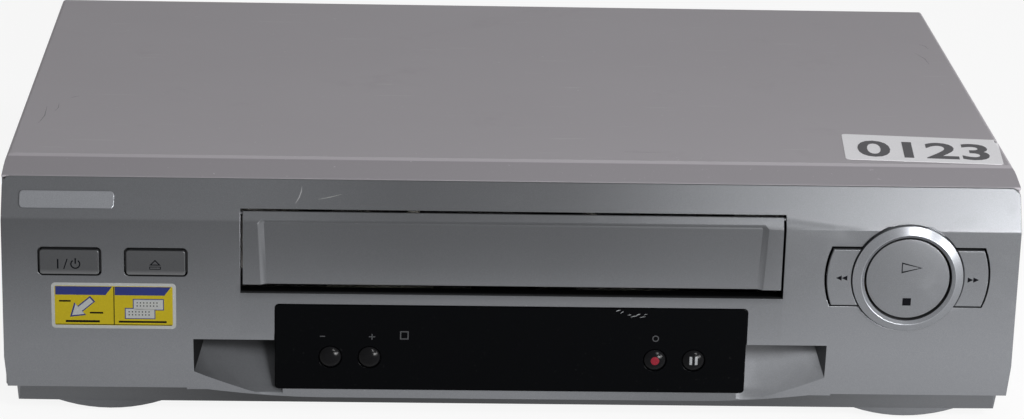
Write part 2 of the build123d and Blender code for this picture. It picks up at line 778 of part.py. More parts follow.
    # Openings for the keys
    for x, height in key_centres:
        with BuildSketch(on_face(x, height, behind=-PANEL_WALL)):
            RectangleRounded(
                RECT_KEY_WIDTH + 2 * KEY_GAP,
                RECT_KEY_HEIGHT + 2 * KEY_GAP,
                RECT_KEY_CORNER + KEY_GAP,
            )
        extrude(amount=-3 * PANEL_WALL, mode=Mode.SUBTRACT)
    with BuildSketch(on_face(ring_x, ring_z, behind=-PANEL_WALL)):
        Circle(WING_RADIUS + KEY_GAP)
        Rectangle(4 * WING_RADIUS, WING_HEIGHT + 2 * KEY_GAP, mode=Mode.INTERSECT)
        Circle(RING_SEAT_RADIUS + WINDOW_FIT)
    extrude(amount=-3 * PANEL_WALL, mode=Mode.SUBTRACT)
    with BuildSketch(on_face(ring_x, ring_z, behind=-PANEL_WALL)):
        Circle(RING_OUTER_RADIUS + RING_GROOVE)
    extrude(amount=-PANEL_WALL - RING_GROOVE_DEPTH, mode=Mode.SUBTRACT)
    # Bosses that carry the front boards
    with BuildSketch(upright(FRONT_BOARD_DEPTH)):
        with Locations(*board_bosses):
            Circle(BOSS_RADIUS)
    extrude(amount=FRONT_BOARD_DEPTH - PANEL_WALL)
    # Peg for the flap's spring
    ear_left = -collar_half
    with BuildSketch(Plane.YZ.offset(ear_left)):
        with BuildLine():
            Polyline(
                *from_side(
                    [
                        (SILL_DEPTH - PANEL_WALL, door_opening_top),
                        (SILL_DEPTH, door_opening_top),
                        (SPRING_DEPTH + PANEL_WALL / 2, spring_height - PANEL_WALL / 2),
                        (SPRING_DEPTH + PANEL_WALL / 2, spring_height + PANEL_WALL / 2),
                        (SILL_DEPTH - PANEL_WALL, spring_height + PANEL_WALL / 2),
                    ]
                ),
                close=True,
            )
        make_face()
    extrude(amount=COLLAR_WALL)
    with BuildSketch(Plane.YZ.offset(ear_left)):
        with Locations((at_depth(SPRING_DEPTH), spring_height)):
            Circle(SPRING_COIL_RADIUS - SPRING_WIRE_RADIUS - 2 * RUNNING_CLEARANCE)
    extrude(amount=3 * COLLAR_WALL)
save(front_panel.part, "front_panel")

# --------------------------------------------------------------------------- window

window_foot_depth = panel_depth(window_top) + (window_top - WINDOW_BOTTOM) * tan(lean)

with BuildPart() as display_window:
    with BuildSketch(Plane.YZ):
        with BuildLine():
            Polyline(
                *from_side(
                    [
                        (panel_depth(window_top) - WINDOW_PROUD, window_top),
                        (window_foot_depth - WINDOW_PROUD, WINDOW_BOTTOM),
                        (WINDOW_REAR, WINDOW_BOTTOM),
                        (WINDOW_REAR, window_top),
                    ]
                ),
                close=True,
            )
        make_face()
    extrude(amount=WINDOW_WIDTH / 2, both=True)
    fillet(display_window.edges().filter_by(Axis.Y), WINDOW_CORNER)
    with BuildSketch(Plane.YZ):
        with BuildLine():
            Polyline(
                *from_side(
                    [
                        (panel_depth(window_top) + WINDOW_WALL, window_top - WINDOW_WALL),
                        (window_foot_depth + WINDOW_WALL, WINDOW_BOTTOM + WINDOW_WALL),
                        (2 * WINDOW_REAR, WINDOW_BOTTOM + WINDOW_WALL),
                        (2 * WINDOW_REAR, window_top - WINDOW_WALL),
                    ]
                ),
                close=True,
            )
        make_face()
    extrude(amount=WINDOW_WIDTH / 2 - WINDOW_WALL, both=True, mode=Mode.SUBTRACT)
    for x in ROUND_KEY_XS.values():
        with BuildSketch(on_face(x, ROUND_KEY_Z, behind=-PANEL_WALL)):
            Circle(ROUND_KEY_RADIUS + ROUND_KEY_GAP)
        extrude(amount=-3 * PANEL_WALL, mode=Mode.SUBTRACT)
save(display_window.part, "display_window")

# ------------------------------------------------------------------ flap and spring

band_lean = atan2(BAND_TOP_DEPTH, band_top_height - crease_height)
flap_crease_drop = FLAP_WALL * tan(band_lean / 2)
shoulder_depth = panel_depth(flap_top - FLAP_SHOULDER) + FLAP_WALL / cos(band_lean)

with BuildPart() as flap_recess:
    with BuildSketch(Plane.YZ):
        with BuildLine():
            recess_crease = (FLAP_RECESS, crease_height - FLAP_RECESS * tan(band_lean / 2))
            recess_upper = flap_recess_top - FLAP_RECESS
            Polyline(
                *from_side(
                    [
                        (-FLAP_WALL, 0.0),
                        (panel_depth(flap_bottom) + FLAP_RECESS, 0.0),
                        (panel_depth(flap_bottom) + FLAP_RECESS, flap_bottom),
                        recess_crease,
                        (panel_depth(recess_upper) + FLAP_RECESS, recess_upper),
                        (panel_depth(flap_recess_top), flap_recess_top),
                        (-FLAP_WALL, flap_recess_top),
                    ]
                ),
                close=True,
            )
        make_face()
    extrude(amount=2 * flap_recess_half, both=True)
    for side in (-1, 1):
        bevel_edge = (side * flap_recess_half, at_depth(0.0), crease_height)
        bevel_slope = Vector(side * FLAP_RECESS, FLAP_BEVEL, 0)
        split(bisect_by=Plane(origin=bevel_edge, z_dir=bevel_slope), keep=Keep.BOTTOM)

with BuildPart() as cassette_flap:
    with BuildSketch(Plane.YZ):
        with BuildLine():
            Polyline(
                *from_side(
                    [
                        (panel_depth(flap_top), flap_top),
                        (0.0, crease_height),
                        (panel_depth(flap_bottom), flap_bottom),
                        (panel_depth(flap_bottom) + FLAP_WALL, flap_bottom),
                        (FLAP_WALL, crease_height - flap_crease_drop),
                        (shoulder_depth, flap_top - FLAP_SHOULDER),
                        (panel_depth(flap_top) + FLAP_TOP_EDGE, flap_top),
                    ]
                ),
                close=True,
            )
        make_face()
    extrude(amount=flap_half, both=True)
    add(flap_recess.part, mode=Mode.SUBTRACT)
    with BuildSketch(Plane.YZ):
        with Locations((at_depth(HINGE_DEPTH), hinge_height)):
            Circle(HINGE_PIN_RADIUS)
    extrude(amount=flap_half + HINGE_PIN_REACH, both=True)
save(cassette_flap.part, "cassette_flap")

spring_pitch = 2.6 * SPRING_WIRE_RADIUS
spring_start = -collar_half + COLLAR_WALL + 2 * SPRING_WIRE_RADIUS
with BuildPart() as flap_spring:
    with BuildLine() as coil:
        Helix(
            pitch=spring_pitch,
            height=spring_pitch * SPRING_TURNS,
            radius=SPRING_COIL_RADIUS,
            center=(spring_start, at_depth(SPRING_DEPTH), spring_height),
            direction=(1, 0, 0),
        )
    with BuildSketch(Plane(origin=coil.line @ 0, z_dir=coil.line % 0)):
        Circle(SPRING_WIRE_RADIUS)
    sweep()
save(flap_spring.part, "flap_spring")

# ----------------------------------------------------------------- rectangular keys

flange_start = PANEL_WALL + KEY_REST_GAP


def rectangular_key(x, height):
    """Key cap with a flange that stops it behind the panel, and a stem to its switch."""
    cap_rear = flange_start + KEY_FLANGE_WALL
    with BuildPart() as key:
        with BuildSketch(on_face(x, height, behind=-KEY_PROUD)):
            RectangleRounded(RECT_KEY_WIDTH, RECT_KEY_HEIGHT, RECT_KEY_CORNER)
        extrude(amount=-(KEY_PROUD + cap_rear))
        fillet(key.faces().sort_by(Axis.Y)[0].edges(), KEY_EDGE_RADIUS)
        with BuildSketch(on_face(x, height, behind=flange_start)):
            RectangleRounded(
                RECT_KEY_WIDTH + 2 * (KEY_GAP + KEY_FLANGE),
                RECT_KEY_HEIGHT + 2 * (KEY_GAP + KEY_FLANGE),
                RECT_KEY_CORNER + KEY_GAP,
            )
        extrude(amount=-KEY_FLANGE_WALL)
        with BuildSketch(on_face(x, height, behind=cap_rear)):
            Circle(STEM_RADIUS)
        extrude(amount=-stem_length(height, cap_rear, KEY_TRAVEL))
    return key.part


save(rectangular_key(*key_centres[0]), "power_key")
save(rectangular_key(*key_centres[1]), "eject_key")

# ------------------------------------------------------------------- transport keys

disc_radius = RING_INNER_RADIUS - DISC_GAP

with BuildPart() as transport_ring:
    with BuildSketch(through_axis(ring_x, ring_z)):
        with BuildLine():
            Polyline(
                (RING_INNER_RADIUS, -RING_PROUD + RING_BEVEL),
                (RING_INNER_RADIUS + RING_BEVEL, -RING_PROUD),
                (RING_OUTER_RADIUS, -RING_PROUD + RING_SLOPE),
                (RING_OUTER_RADIUS, RING_GROOVE_DEPTH),
                (RING_SEAT_RADIUS, RING_GROOVE_DEPTH),
                (RING_SEAT_RADIUS, RING_SPIGOT),
                (RING_INNER_RADIUS, RING_SPIGOT),
                close=True,
            )
        make_face()
    revolve(axis=inwards(ring_x, ring_z))
    pivot_face = on_face(ring_x, ring_z, behind=DISC_PIVOT_DEPTH)
    with BuildSketch(Plane(origin=pivot_face.origin, x_dir=(0, 1, 0), z_dir=(1, 0, 0))):
        Circle(DISC_PIVOT_RADIUS + RUNNING_CLEARANCE)
    pivot_hole_half = disc_radius + DISC_PIVOT_REACH + SEAM
    extrude(amount=pivot_hole_half, both=True, mode=Mode.SUBTRACT)
save(transport_ring.part, "transport_ring")

with BuildPart() as play_stop_disc:
    with BuildSketch(through_axis(ring_x, ring_z)):
        with BuildLine():
            rim_front = (disc_radius, -DISC_PROUD + DISC_CROWN)
            crown = (0.0, -DISC_PROUD)
            across = (disc_radius / 2, -DISC_PROUD + DISC_CROWN / 4)
            ThreePointArc(crown, across, rim_front)
            Polyline(rim_front, (disc_radius, DISC_WALL), (0.0, DISC_WALL), crown)
        make_face()
    revolve(axis=inwards(ring_x, ring_z))
    with BuildSketch(on_face(ring_x, ring_z, behind=DISC_WALL)):
        Rectangle(2 * (disc_radius - DISC_PIVOT_RADIUS), 3 * DISC_PIVOT_RADIUS)
    extrude(amount=DISC_WALL - DISC_PIVOT_DEPTH - DISC_PIVOT_RADIUS)
    with BuildSketch(Plane(origin=pivot_face.origin, x_dir=(0, 1, 0), z_dir=(1, 0, 0))):
        Circle(DISC_PIVOT_RADIUS)
    extrude(amount=disc_radius + DISC_PIVOT_REACH, both=True)
    disc_swing = DISC_STEM_OFFSET * sin(radians(DISC_TILT))
    for side in (-1, 1):
        stem_height = ring_z + side * DISC_STEM_OFFSET * cos(lean)
        with BuildSketch(on_face(ring_x, stem_height, behind=DISC_WALL)):
            Circle(STEM_RADIUS)
        extrude(amount=-stem_length(stem_height, DISC_WALL, disc_swing + KEY_REST_GAP))
save(play_stop_disc.part, "play_stop_disc")


def wing_key(side):
    """Side key: a band with a round outer end that meets the ring's outer edge."""
    wing_inner = RING_OUTER_RADIUS + SEAM
    cap_rear = flange_start + KEY_FLANGE_WALL
    stem_x = ring_x + side * WING_STEM_OFFSET
    with BuildPart() as key:
        with BuildSketch(on_face(ring_x, ring_z, behind=-WING_PROUD)):
            Circle(WING_RADIUS)
            Rectangle(4 * WING_RADIUS, WING_HEIGHT, mode=Mode.INTERSECT)
            with Locations((side * 2 * WING_RADIUS, 0)):
                Rectangle(4 * WING_RADIUS, WING_HEIGHT, mode=Mode.INTERSECT)
            Circle(wing_inner, mode=Mode.SUBTRACT)
        extrude(amount=-(WING_PROUD + cap_rear))
        outer_face = key.faces().sort_by(Axis.Y)[0]
        fillet(outer_face.edges(), KEY_EDGE_RADIUS)
        with BuildSketch(on_face(ring_x, ring_z, behind=flange_start)):
            Circle(WING_RADIUS + KEY_GAP + KEY_FLANGE)
            Rectangle(4 * WING_RADIUS, WING_HEIGHT + 2 * KEY_FLANGE, mode=Mode.INTERSECT)
            with Locations((side * 2 * WING_RADIUS, 0)):
                Rectangle(4 * WING_RADIUS, 2 * WING_RADIUS, mode=Mode.INTERSECT)
            Circle(wing_inner, mode=Mode.SUBTRACT)
        extrude(amount=-KEY_FLANGE_WALL)
        with BuildSketch(on_face(stem_x, ring_z, behind=cap_rear)):
            Circle(STEM_RADIUS)
        extrude(amount=-stem_length(ring_z, cap_rear, KEY_TRAVEL))
    return key.part


save(wing_key(-1), "rewind_key")
save(wing_key(1), "forward_key")

# ---------------------------------------------------------- round keys in the window


def round_key(x):
    """Domed cap with a flange behind the window and a stem to its switch."""
    flange_front = WINDOW_WALL + KEY_REST_GAP
    flange_rear = flange_front + KEY_FLANGE_WALL
    stem_end = flange_rear + stem_length(ROUND_KEY_Z, flange_rear, KEY_TRAVEL)
    shoulder = ROUND_KEY_RADIUS * 0.8
    with BuildPart() as key:
        with BuildSketch(through_axis(x, ROUND_KEY_Z)):
            with BuildLine():
                crown = (0.0, -ROUND_KEY_PROUD)
                rim = (ROUND_KEY_RADIUS, 0.0)
                ThreePointArc(crown, (shoulder, -ROUND_KEY_PROUD * 0.5), rim)
                Polyline(
                    rim,
                    (ROUND_KEY_RADIUS, flange_front),
                    (ROUND_KEY_RADIUS + KEY_FLANGE, flange_front),
                    (ROUND_KEY_RADIUS + KEY_FLANGE, flange_rear),
                    (STEM_RADIUS, flange_rear),
                    (STEM_RADIUS, stem_end),
                    (0.0, stem_end),
                    crown,
                )
            make_face()
        revolve(axis=inwards(x, ROUND_KEY_Z))
    return key.part


for name, x in ROUND_KEY_XS.items():
    save(round_key(x), name + "_key")

# ---------------------------------------------------------------- front circuit boards

for name, (low, high) in board_outlines.items():
    with BuildPart() as board:
        with BuildSketch(upright(FRONT_BOARD_DEPTH)):
            with Locations(((low[0] + high[0]) / 2, (low[1] + high[1]) / 2)):
                Rectangle(high[0] - low[0], high[1] - low[1])
        extrude(amount=-BOARD_WALL)
    save(board.part, name)

switch_centres = key_centres + [(x, ROUND_KEY_Z) for x in ROUND_KEY_XS.values()]
switch_centres += [(ring_x, ring_z + side * DISC_STEM_OFFSET) for side in (-1, 1)]
switch_centres += [(ring_x + side * WING_STEM_OFFSET, ring_z) for side in (-1, 1)]
with BuildPart() as key_switches:
    with BuildSketch(upright(FRONT_BOARD_DEPTH)):
        with Locations(*switch_centres):
            Rectangle(SWITCH_SIZE, SWITCH_SIZE)
    extrude(amount=SWITCH_HEIGHT)
    with BuildSketch(upright(FRONT_BOARD_DEPTH - SWITCH_HEIGHT)):
        with Locations(*switch_centres):
            Circle(PLUNGER_RADIUS)
    extrude(amount=PLUNGER_HEIGHT)
save(key_switches.part, "key_switches")

with BuildPart() as display_tube:
    with BuildSketch(upright(FRONT_BOARD_DEPTH)):
        with Locations((0, (window_top + WINDOW_BOTTOM) / 2)):
            RectangleRounded(DISPLAY_WIDTH, DISPLAY_HEIGHT, WINDOW_CORNER)
    extrude(amount=DISPLAY_WALL)
save(display_tube.part, "display_tube")

# -------------------------------------------------------------------- base tray, feet

deck_corners = [
    (side * DECK_POST_X, depth)
    for side in (-1, 1)
    for depth in (DECK_FRONT + DECK_POST_INSET, DECK_REAR - DECK_POST_INSET)
]
board_posts = [
    (-wing_centre_x, SUPPLY_BOARD_FRONT + BOARD_POST_INSET),
    (-wing_centre_x, board_rear - BOARD_POST_INSET),
    (wing_centre_x, MAIN_BOARD_WING_FRONT + BOARD_POST_INSET),
    (wing_centre_x, board_rear - BOARD_POST_INSET),
    (0.0, (main_board_front + board_rear) / 2),
]

with BuildPart() as base_tray:
    with BuildSketch(Plane.XY.offset(TRAY_UNDERSIDE)):
        with BuildLine():
            Polyline(
                (-tray_half, at_depth(TRAY_FRONT_DEPTH)),
                (-tongue_half, at_depth(TRAY_FRONT_DEPTH)),
                (-tongue_half, at_depth(TRAY_TONGUE_DEPTH)),
                (tongue_half, at_depth(TRAY_TONGUE_DEPTH)),
                (tongue_half, at_depth(TRAY_FRONT_DEPTH)),
                (tray_half, at_depth(TRAY_FRONT_DEPTH)),
                (tray_half, at_depth(rear_panel_front)),
                (-tray_half, at_depth(rear_panel_front)),
                close=True,
            )
        make_face()
    extrude(amount=TRAY_FLOOR)
    with BuildSketch(Plane.XY.offset(tray_floor_top)):
        tray_middle = at_depth((TRAY_FRONT_DEPTH + rear_panel_front) / 2)
        wall_length = rear_panel_front - TRAY_FRONT_DEPTH
        with Locations(*[(side * (tray_half - TRAY_FLOOR / 2), tray_middle) for side in (-1, 1)]):
            Rectangle(TRAY_FLOOR, wall_length)
    extrude(amount=TRAY_WALL_TOP - tray_floor_top)
    with BuildSketch(Plane.XY.offset(tray_floor_top)):
        with Locations(*[(x, at_depth(depth)) for x, depth in deck_corners]):
            Circle(DECK_POST_RADIUS)
    extrude(amount=DECK_TOP - DECK_WALL - tray_floor_top)
    with BuildSketch(Plane.XY.offset(DECK_TOP - DECK_WALL)):
        with Locations(*[(x, at_depth(depth)) for x, depth in deck_corners]):
            Circle(SCREW_RADIUS + RUNNING_CLEARANCE)
    extrude(amount=-SCREW_LENGTH, mode=Mode.SUBTRACT)
    with BuildSketch(Plane.XY.offset(tray_floor_top)):
        with Locations(*[(x, at_depth(depth)) for x, depth in board_posts]):
            Circle(DECK_POST_RADIUS)
    extrude(amount=MAIN_BOARD_HEIGHT - tray_floor_top)
    with BuildSketch(Plane.XY.offset(TRAY_UNDERSIDE)):
        for side in (-1, 1):
            with Locations((side * wing_centre_x, at_depth(VENT_DEPTH))):
                with GridLocations(0, VENT_PITCH, 1, VENT_COUNT):
                    SlotOverall(VENT_LENGTH, VENT_WIDTH)
    extrude(amount=TRAY_FLOOR, mode=Mode.SUBTRACT)
save(base_tray.part, "base_tray")

with BuildPart() as front_foot_pads:
    with BuildSketch(Plane.XY):
        with Locations(*[(side * lobe_x, at_depth(PANEL_REAR - PAD_DEPTH / 2)) for side in (-1, 1)]):
            Rectangle(PAD_WIDTH, PAD_DEPTH)
    extrude(amount=PAD_THICKNESS)
save(front_foot_pads.part, "front_foot_pads")

with BuildPart() as rear_feet:
    for side in (-1, 1):
        foot_centre = (side * lobe_x, at_depth(rear_foot_depth), 0)
        with BuildSketch(Plane(origin=foot_centre, x_dir=(1, 0, 0), z_dir=(0, -1, 0))):
            with BuildLine():
                Polyline(
                    (0.0, 0.0),
                    (REAR_FOOT_RADIUS - SHEET, 0.0),
                    (REAR_FOOT_RADIUS, SHEET),
                    (REAR_FOOT_RADIUS + REAR_FOOT_FLARE, TRAY_UNDERSIDE),
                    (0.0, TRAY_UNDERSIDE),
                    close=True,
                )
            make_face()
        revolve(axis=Axis(foot_centre, (0, 0, 1)))
save(rear_feet.part, "rear_feet")

# ------------------------------------------------------------------------- rear panel

rear_panel_top = CASE_HEIGHT - SHEET - SEAM
coax_centres = [(tuner_x, COAX_LOW), (tuner_x, COAX_LOW + COAX_SPACING)]

with BuildPart() as rear_panel:
    with BuildSketch(upright(rear_panel_front)):
        with Locations((0, (TRAY_UNDERSIDE + rear_panel_top) / 2)):
            Rectangle(2 * tray_half, rear_panel_top - TRAY_UNDERSIDE)
        with Locations(*[(x, SCART_Z) for x in SCART_XS]):
            Rectangle(SCART_WIDTH + 2 * SEAM, SCART_HEIGHT + 2 * SEAM, mode=Mode.SUBTRACT)
        with Locations(*coax_centres):
            Circle(COAX_RADIUS + COAX_WALL, mode=Mode.SUBTRACT)
        with Locations((inlet_x, INLET_Z)):
            Rectangle(INLET_WIDTH + 2 * SEAM, INLET_HEIGHT + 2 * SEAM, mode=Mode.SUBTRACT)
        with Locations((inlet_x, REAR_VENT_HEIGHT)):
            with GridLocations(VENT_PITCH, 0, VENT_COUNT // 2, 1):
                SlotOverall(VENT_LENGTH, VENT_WIDTH, rotation=90, mode=Mode.SUBTRACT)
        with Locations(*[(x, cover_screw_z) for x in cover_screw_xs]):
            Circle(SCREW_RADIUS + RUNNING_CLEARANCE, mode=Mode.SUBTRACT)
    extrude(amount=-SHEET)
save(rear_panel.part, "rear_panel")

# ------------------------------------------------------------------- boards, rear sockets

board_top = MAIN_BOARD_HEIGHT + BOARD_WALL

with BuildPart() as main_board:
    with BuildSketch(Plane.XY.offset(MAIN_BOARD_HEIGHT)):
        with BuildLine():
            Polyline(
                (-MAIN_BOARD_WING_X + SEAM, at_depth(board_rear)),
                (-MAIN_BOARD_WING_X + SEAM, at_depth(main_board_front)),
                (MAIN_BOARD_WING_X, at_depth(main_board_front)),
                (MAIN_BOARD_WING_X, at_depth(MAIN_BOARD_WING_FRONT)),
                (side_board_edge, at_depth(MAIN_BOARD_WING_FRONT)),
                (side_board_edge, at_depth(board_rear)),
                close=True,
            )
        make_face()
    extrude(amount=BOARD_WALL)
save(main_board.part, "main_board")

with BuildPart() as power_supply_board:
    with BuildSketch(Plane.XY.offset(MAIN_BOARD_HEIGHT)):
        with Locations((-wing_centre_x, at_depth((SUPPLY_BOARD_FRONT + board_rear) / 2))):
            Rectangle(side_board_edge - MAIN_BOARD_WING_X - SEAM, board_rear - SUPPLY_BOARD_FRONT)
    extrude(amount=BOARD_WALL)
save(power_supply_board.part, "power_supply_board")

transformer_place = (-wing_centre_x + TRANSFORMER_ACROSS, at_depth(SUPPLY_BOARD_FRONT + TRANSFORMER_BACK))
with BuildPart() as power_transformer:
    with BuildSketch(Plane.XY.offset(board_top)):
        with Locations(transformer_place):
            Rectangle(TRANSFORMER_COIL[0], TRANSFORMER_COIL[1])
    extrude(amount=TRANSFORMER_COIL[2])
    core_bottom = board_top + (TRANSFORMER_COIL[2] - TRANSFORMER_CORE[2]) / 2
    with BuildSketch(Plane.XY.offset(core_bottom)):
        with Locations(transformer_place):
            Rectangle(TRANSFORMER_CORE[0], TRANSFORMER_CORE[1])
    extrude(amount=TRANSFORMER_CORE[2])
save(power_transformer.part, "power_transformer")

with BuildPart() as capacitors:
    inset, back, radius, height = LARGE_CAPACITOR
    places = [(side_board_edge - inset, back, radius, height)]
    places += [(MAIN_BOARD_WING_X + inset, *rest) for inset, *rest in SMALL_CAPACITORS]
    for x, back, radius, height in places:
        with BuildSketch(Plane.XY.offset(board_top)):
            with Locations((-x, at_depth(SUPPLY_BOARD_FRONT + back))):
                Circle(radius)
        extrude(amount=height)
save(capacitors.part, "capacitors")

fin_pitch = (HEAT_SINK_LENGTH - HEAT_SINK_WALL) / (HEAT_SINK_FINS - 1)
with BuildPart() as heat_sink:
    sink_x = -side_board_edge + HEAT_SINK_WALL
    sink_y = at_depth(SUPPLY_BOARD_FRONT + HEAT_SINK_BACK)
    with BuildSketch(Plane.XY.offset(board_top)):
        with Locations((sink_x, sink_y)):
            Rectangle(HEAT_SINK_WALL, HEAT_SINK_LENGTH)
        with Locations((sink_x + HEAT_SINK_FIN / 2, sink_y)):
            with GridLocations(0, fin_pitch, 1, HEAT_SINK_FINS):
                Rectangle(HEAT_SINK_FIN, HEAT_SINK_WALL)
    extrude(amount=HEAT_SINK_HEIGHT)
save(heat_sink.part, "heat_sink")

with BuildPart() as tuner:
    with BuildSketch(Plane.XY.offset(board_top)):
        with Locations((tuner_x, at_depth(rear_panel_front - SEAM - TUNER_LENGTH / 2))):
            Rectangle(TUNER_WIDTH, TUNER_LENGTH)
    extrude(amount=TUNER_HEIGHT)
    with BuildSketch(upright(rear_panel_front - SEAM)):
        with Locations(*coax_centres):
            Circle(COAX_RADIUS)
    extrude(amount=-(CASE_DEPTH + COAX_PROUD - rear_panel_front + SEAM))
    with BuildSketch(upright(CASE_DEPTH + COAX_PROUD)):
        with Locations(*coax_centres):
            Circle(COAX_RADIUS - COAX_WALL)
    extrude(amount=COAX_PROUD, mode=Mode.SUBTRACT)
    with BuildSketch(upright(CASE_DEPTH)):
        with Locations(*coax_centres):
            Circle(INLET_PIN_RADIUS)
    extrude(amount=-COAX_PROUD + SHEET)
save(tuner.part, "tuner")

scart_rear = CASE_DEPTH + SCART_PROUD
with BuildPart() as scart_sockets:
    for x in SCART_XS:
        with BuildSketch(upright(scart_rear)):
            with Locations((x, SCART_Z)):
                Rectangle(SCART_WIDTH, SCART_HEIGHT)
                Rectangle(
                    SCART_WIDTH - 2 * SCART_FLANGE,
                    SCART_HEIGHT - 2 * SCART_FLANGE,
                    mode=Mode.SUBTRACT,
                )
        extrude(amount=SCART_PROUD + SCART_BODY)
        with BuildSketch(upright(scart_rear - SHEET)):
            with Locations((x, SCART_Z)):
                Rectangle(SCART_WIDTH - 3 * SCART_FLANGE, SCART_HEIGHT - 3 * SCART_FLANGE)
        extrude(amount=SCART_PROUD + SCART_BODY - SHEET)
        socket_front = CASE_DEPTH - SCART_BODY
        with BuildSketch(upright(socket_front)):
            with Locations((x, SCART_Z)):
                Rectangle(SCART_WIDTH, SCART_HEIGHT)
        extrude(amount=-SCART_FLANGE)
        socket_underside = SCART_Z - SCART_HEIGHT / 2
        with BuildSketch(Plane.XY.offset(board_top)):
            with Locations((x, at_depth((socket_front + board_rear) / 2))):
                Rectangle(SCART_WIDTH / 2, board_rear - socket_front)
        extrude(amount=socket_underside - board_top)
save(scart_sockets.part, "scart_sockets")

with BuildPart() as mains_inlet:
    with BuildSketch(upright(CASE_DEPTH + INLET_PROUD)):
        with Locations((inlet_x, INLET_Z)):
            RectangleRounded(INLET_WIDTH, INLET_HEIGHT, SCART_FLANGE)
    extrude(amount=INLET_PROUD + INLET_BODY)
    with BuildSketch(upright(CASE_DEPTH + INLET_PROUD)):
        with Locations((inlet_x, INLET_Z)):
            SlotOverall(INLET_CAVITY_WIDTH, INLET_CAVITY_HEIGHT)
    extrude(amount=INLET_CAVITY_DEPTH, mode=Mode.SUBTRACT)
    with BuildSketch(upright(CASE_DEPTH + INLET_PROUD - INLET_CAVITY_DEPTH)):
        with Locations(*[(inlet_x + side * INLET_PIN_SPACING / 2, INLET_Z) for side in (-1, 1)]):
            Circle(INLET_PIN_RADIUS)
    extrude(amount=-INLET_CAVITY_DEPTH + 2 * SHEET)
    with BuildSketch(Plane.XY.offset(board_top)):
        with Locations((inlet_x, at_depth(inlet_leg_depth))):
            Rectangle(INLET_WIDTH / 2, INLET_BODY / 2)
    extrude(amount=INLET_Z - INLET_HEIGHT / 2 - board_top)
save(mains_inlet.part, "mains_inlet")

# ------------------------------------------------------------------- deck and its pins

reel_places = [(side * REEL_SPACING / 2, REEL_DEPTH) for side in (-1, 1)]
post_travel = hypot(POST_END_X - POST_START_X, POST_END_DEPTH - POST_START_DEPTH)
post_angle = degrees(atan2(POST_END_DEPTH - POST_START_DEPTH, POST_END_X - POST_START_X))
motor_place = (MOTOR_X, MOTOR_DEPTH)
cam_place = (MOTOR_X + GEAR_MODULE * (PINION_TEETH + CAM_TEETH) / 2, MOTOR_DEPTH)
gear_distance = GEAR_MODULE * (CAM_TEETH + LINK_TEETH) / 2
link_place = (
    cam_place[0] + gear_distance * cos(radians(LINK_DIRECTION)),
    cam_place[1] + gear_distance * sin(radians(LINK_DIRECTION)),
)
pinch_pivot = (PINCH_PIVOT_X, PINCH_PIVOT_DEPTH)
deck_underside = DECK_TOP - DECK_WALL
turning_bottom = DECK_TOP + TURNING_GAP
slot_length = post_travel + TURNING_GAP

with BuildPart() as deck_plate:
    with BuildSketch(Plane.XY.offset(deck_underside)):
        with Locations((0, at_depth((DECK_FRONT + DECK_REAR) / 2))):
            Rectangle(DECK_WIDTH, DECK_REAR - DECK_FRONT)
        with Locations(*[(x, at_depth(depth)) for x, depth in deck_corners]):
            Circle(SCREW_RADIUS + RUNNING_CLEARANCE, mode=Mode.SUBTRACT)
        with Locations((CAPSTAN_X, at_depth(CAPSTAN_DEPTH)), (MOTOR_X, at_depth(MOTOR_DEPTH))):
            Circle(2 * SHAFT_RADIUS, mode=Mode.SUBTRACT)
        with Locations((0, at_depth(CLUTCH_DEPTH))):
            Circle(CLUTCH_HUB_RADIUS + RUNNING_CLEARANCE, mode=Mode.SUBTRACT)
        for side in (-1, 1):
            middle_x = side * (POST_START_X + POST_END_X) / 2
            middle_y = at_depth((POST_START_DEPTH + POST_END_DEPTH) / 2)
            turn = post_angle if side > 0 else 180.0 - post_angle
            with Locations((middle_x, middle_y)):
                SlotCenterToCenter(slot_length, POST_SLOT_WIDTH, rotation=turn, mode=Mode.SUBTRACT)
    extrude(amount=DECK_WALL)
save(deck_plate.part, "deck_plate")

shaft_tops = {
    reel_places[0]: SPINDLE_TOP - 2 * DECK_WALL,
    reel_places[1]: SPINDLE_TOP - 2 * DECK_WALL,
    cam_place: turning_bottom + GEAR_FACE + GEAR_HUB_HEIGHT,
    link_place: turning_bottom + GEAR_FACE + GEAR_HUB_HEIGHT,
    pinch_pivot: PINCH_ARM_BOTTOM + PINCH_ARM_WALL,
}
with BuildPart() as deck_shafts:
    for (x, depth), top in shaft_tops.items():
        with BuildSketch(Plane.XY.offset(DECK_TOP)):
            with Locations((x, at_depth(depth))):
                Circle(SHAFT_RADIUS)
        extrude(amount=top - DECK_TOP)
save(deck_shafts.part, "deck_shafts")

screw_seats = [
    (upright(CASE_DEPTH), [(x, cover_screw_z) for x in cover_screw_xs]),
    (Plane.XY.offset(DECK_TOP), [(x, at_depth(depth)) for x, depth in deck_corners]),
]
with BuildPart() as screws:
    for seat, centres in screw_seats:
        outwards = 1 if seat.z_dir.Z > 0 else -1
        with BuildSketch(seat):
            with Locations(*centres):
                Circle(SCREW_HEAD_RADIUS)
        extrude(amount=outwards * SCREW_HEAD_HEIGHT)
        with BuildSketch(seat):
            with Locations(*centres):
                Circle(SCREW_RADIUS)
        extrude(amount=-outwards * SCREW_LENGTH)
save(screws.part, "screws")

# --------------------------------------------------------- cassette holder and its guides

drive_pin_depth = HOLDER_ROOF_FRONT + HOLDER_PIN_INSET + SHAFT_RADIUS
guide_pin_depths = (HOLDER_FRONT + HOLDER_PIN_INSET, holder_stop - HOLDER_PIN_INSET)
pin_play = HOLDER_PIN_RADIUS + GUIDE_WINDOW_GAP
carriage_inner_half = guide_outer_half + CARRIAGE_GAP
carriage_bar_bottom = guide_top + CARRIAGE_GAP

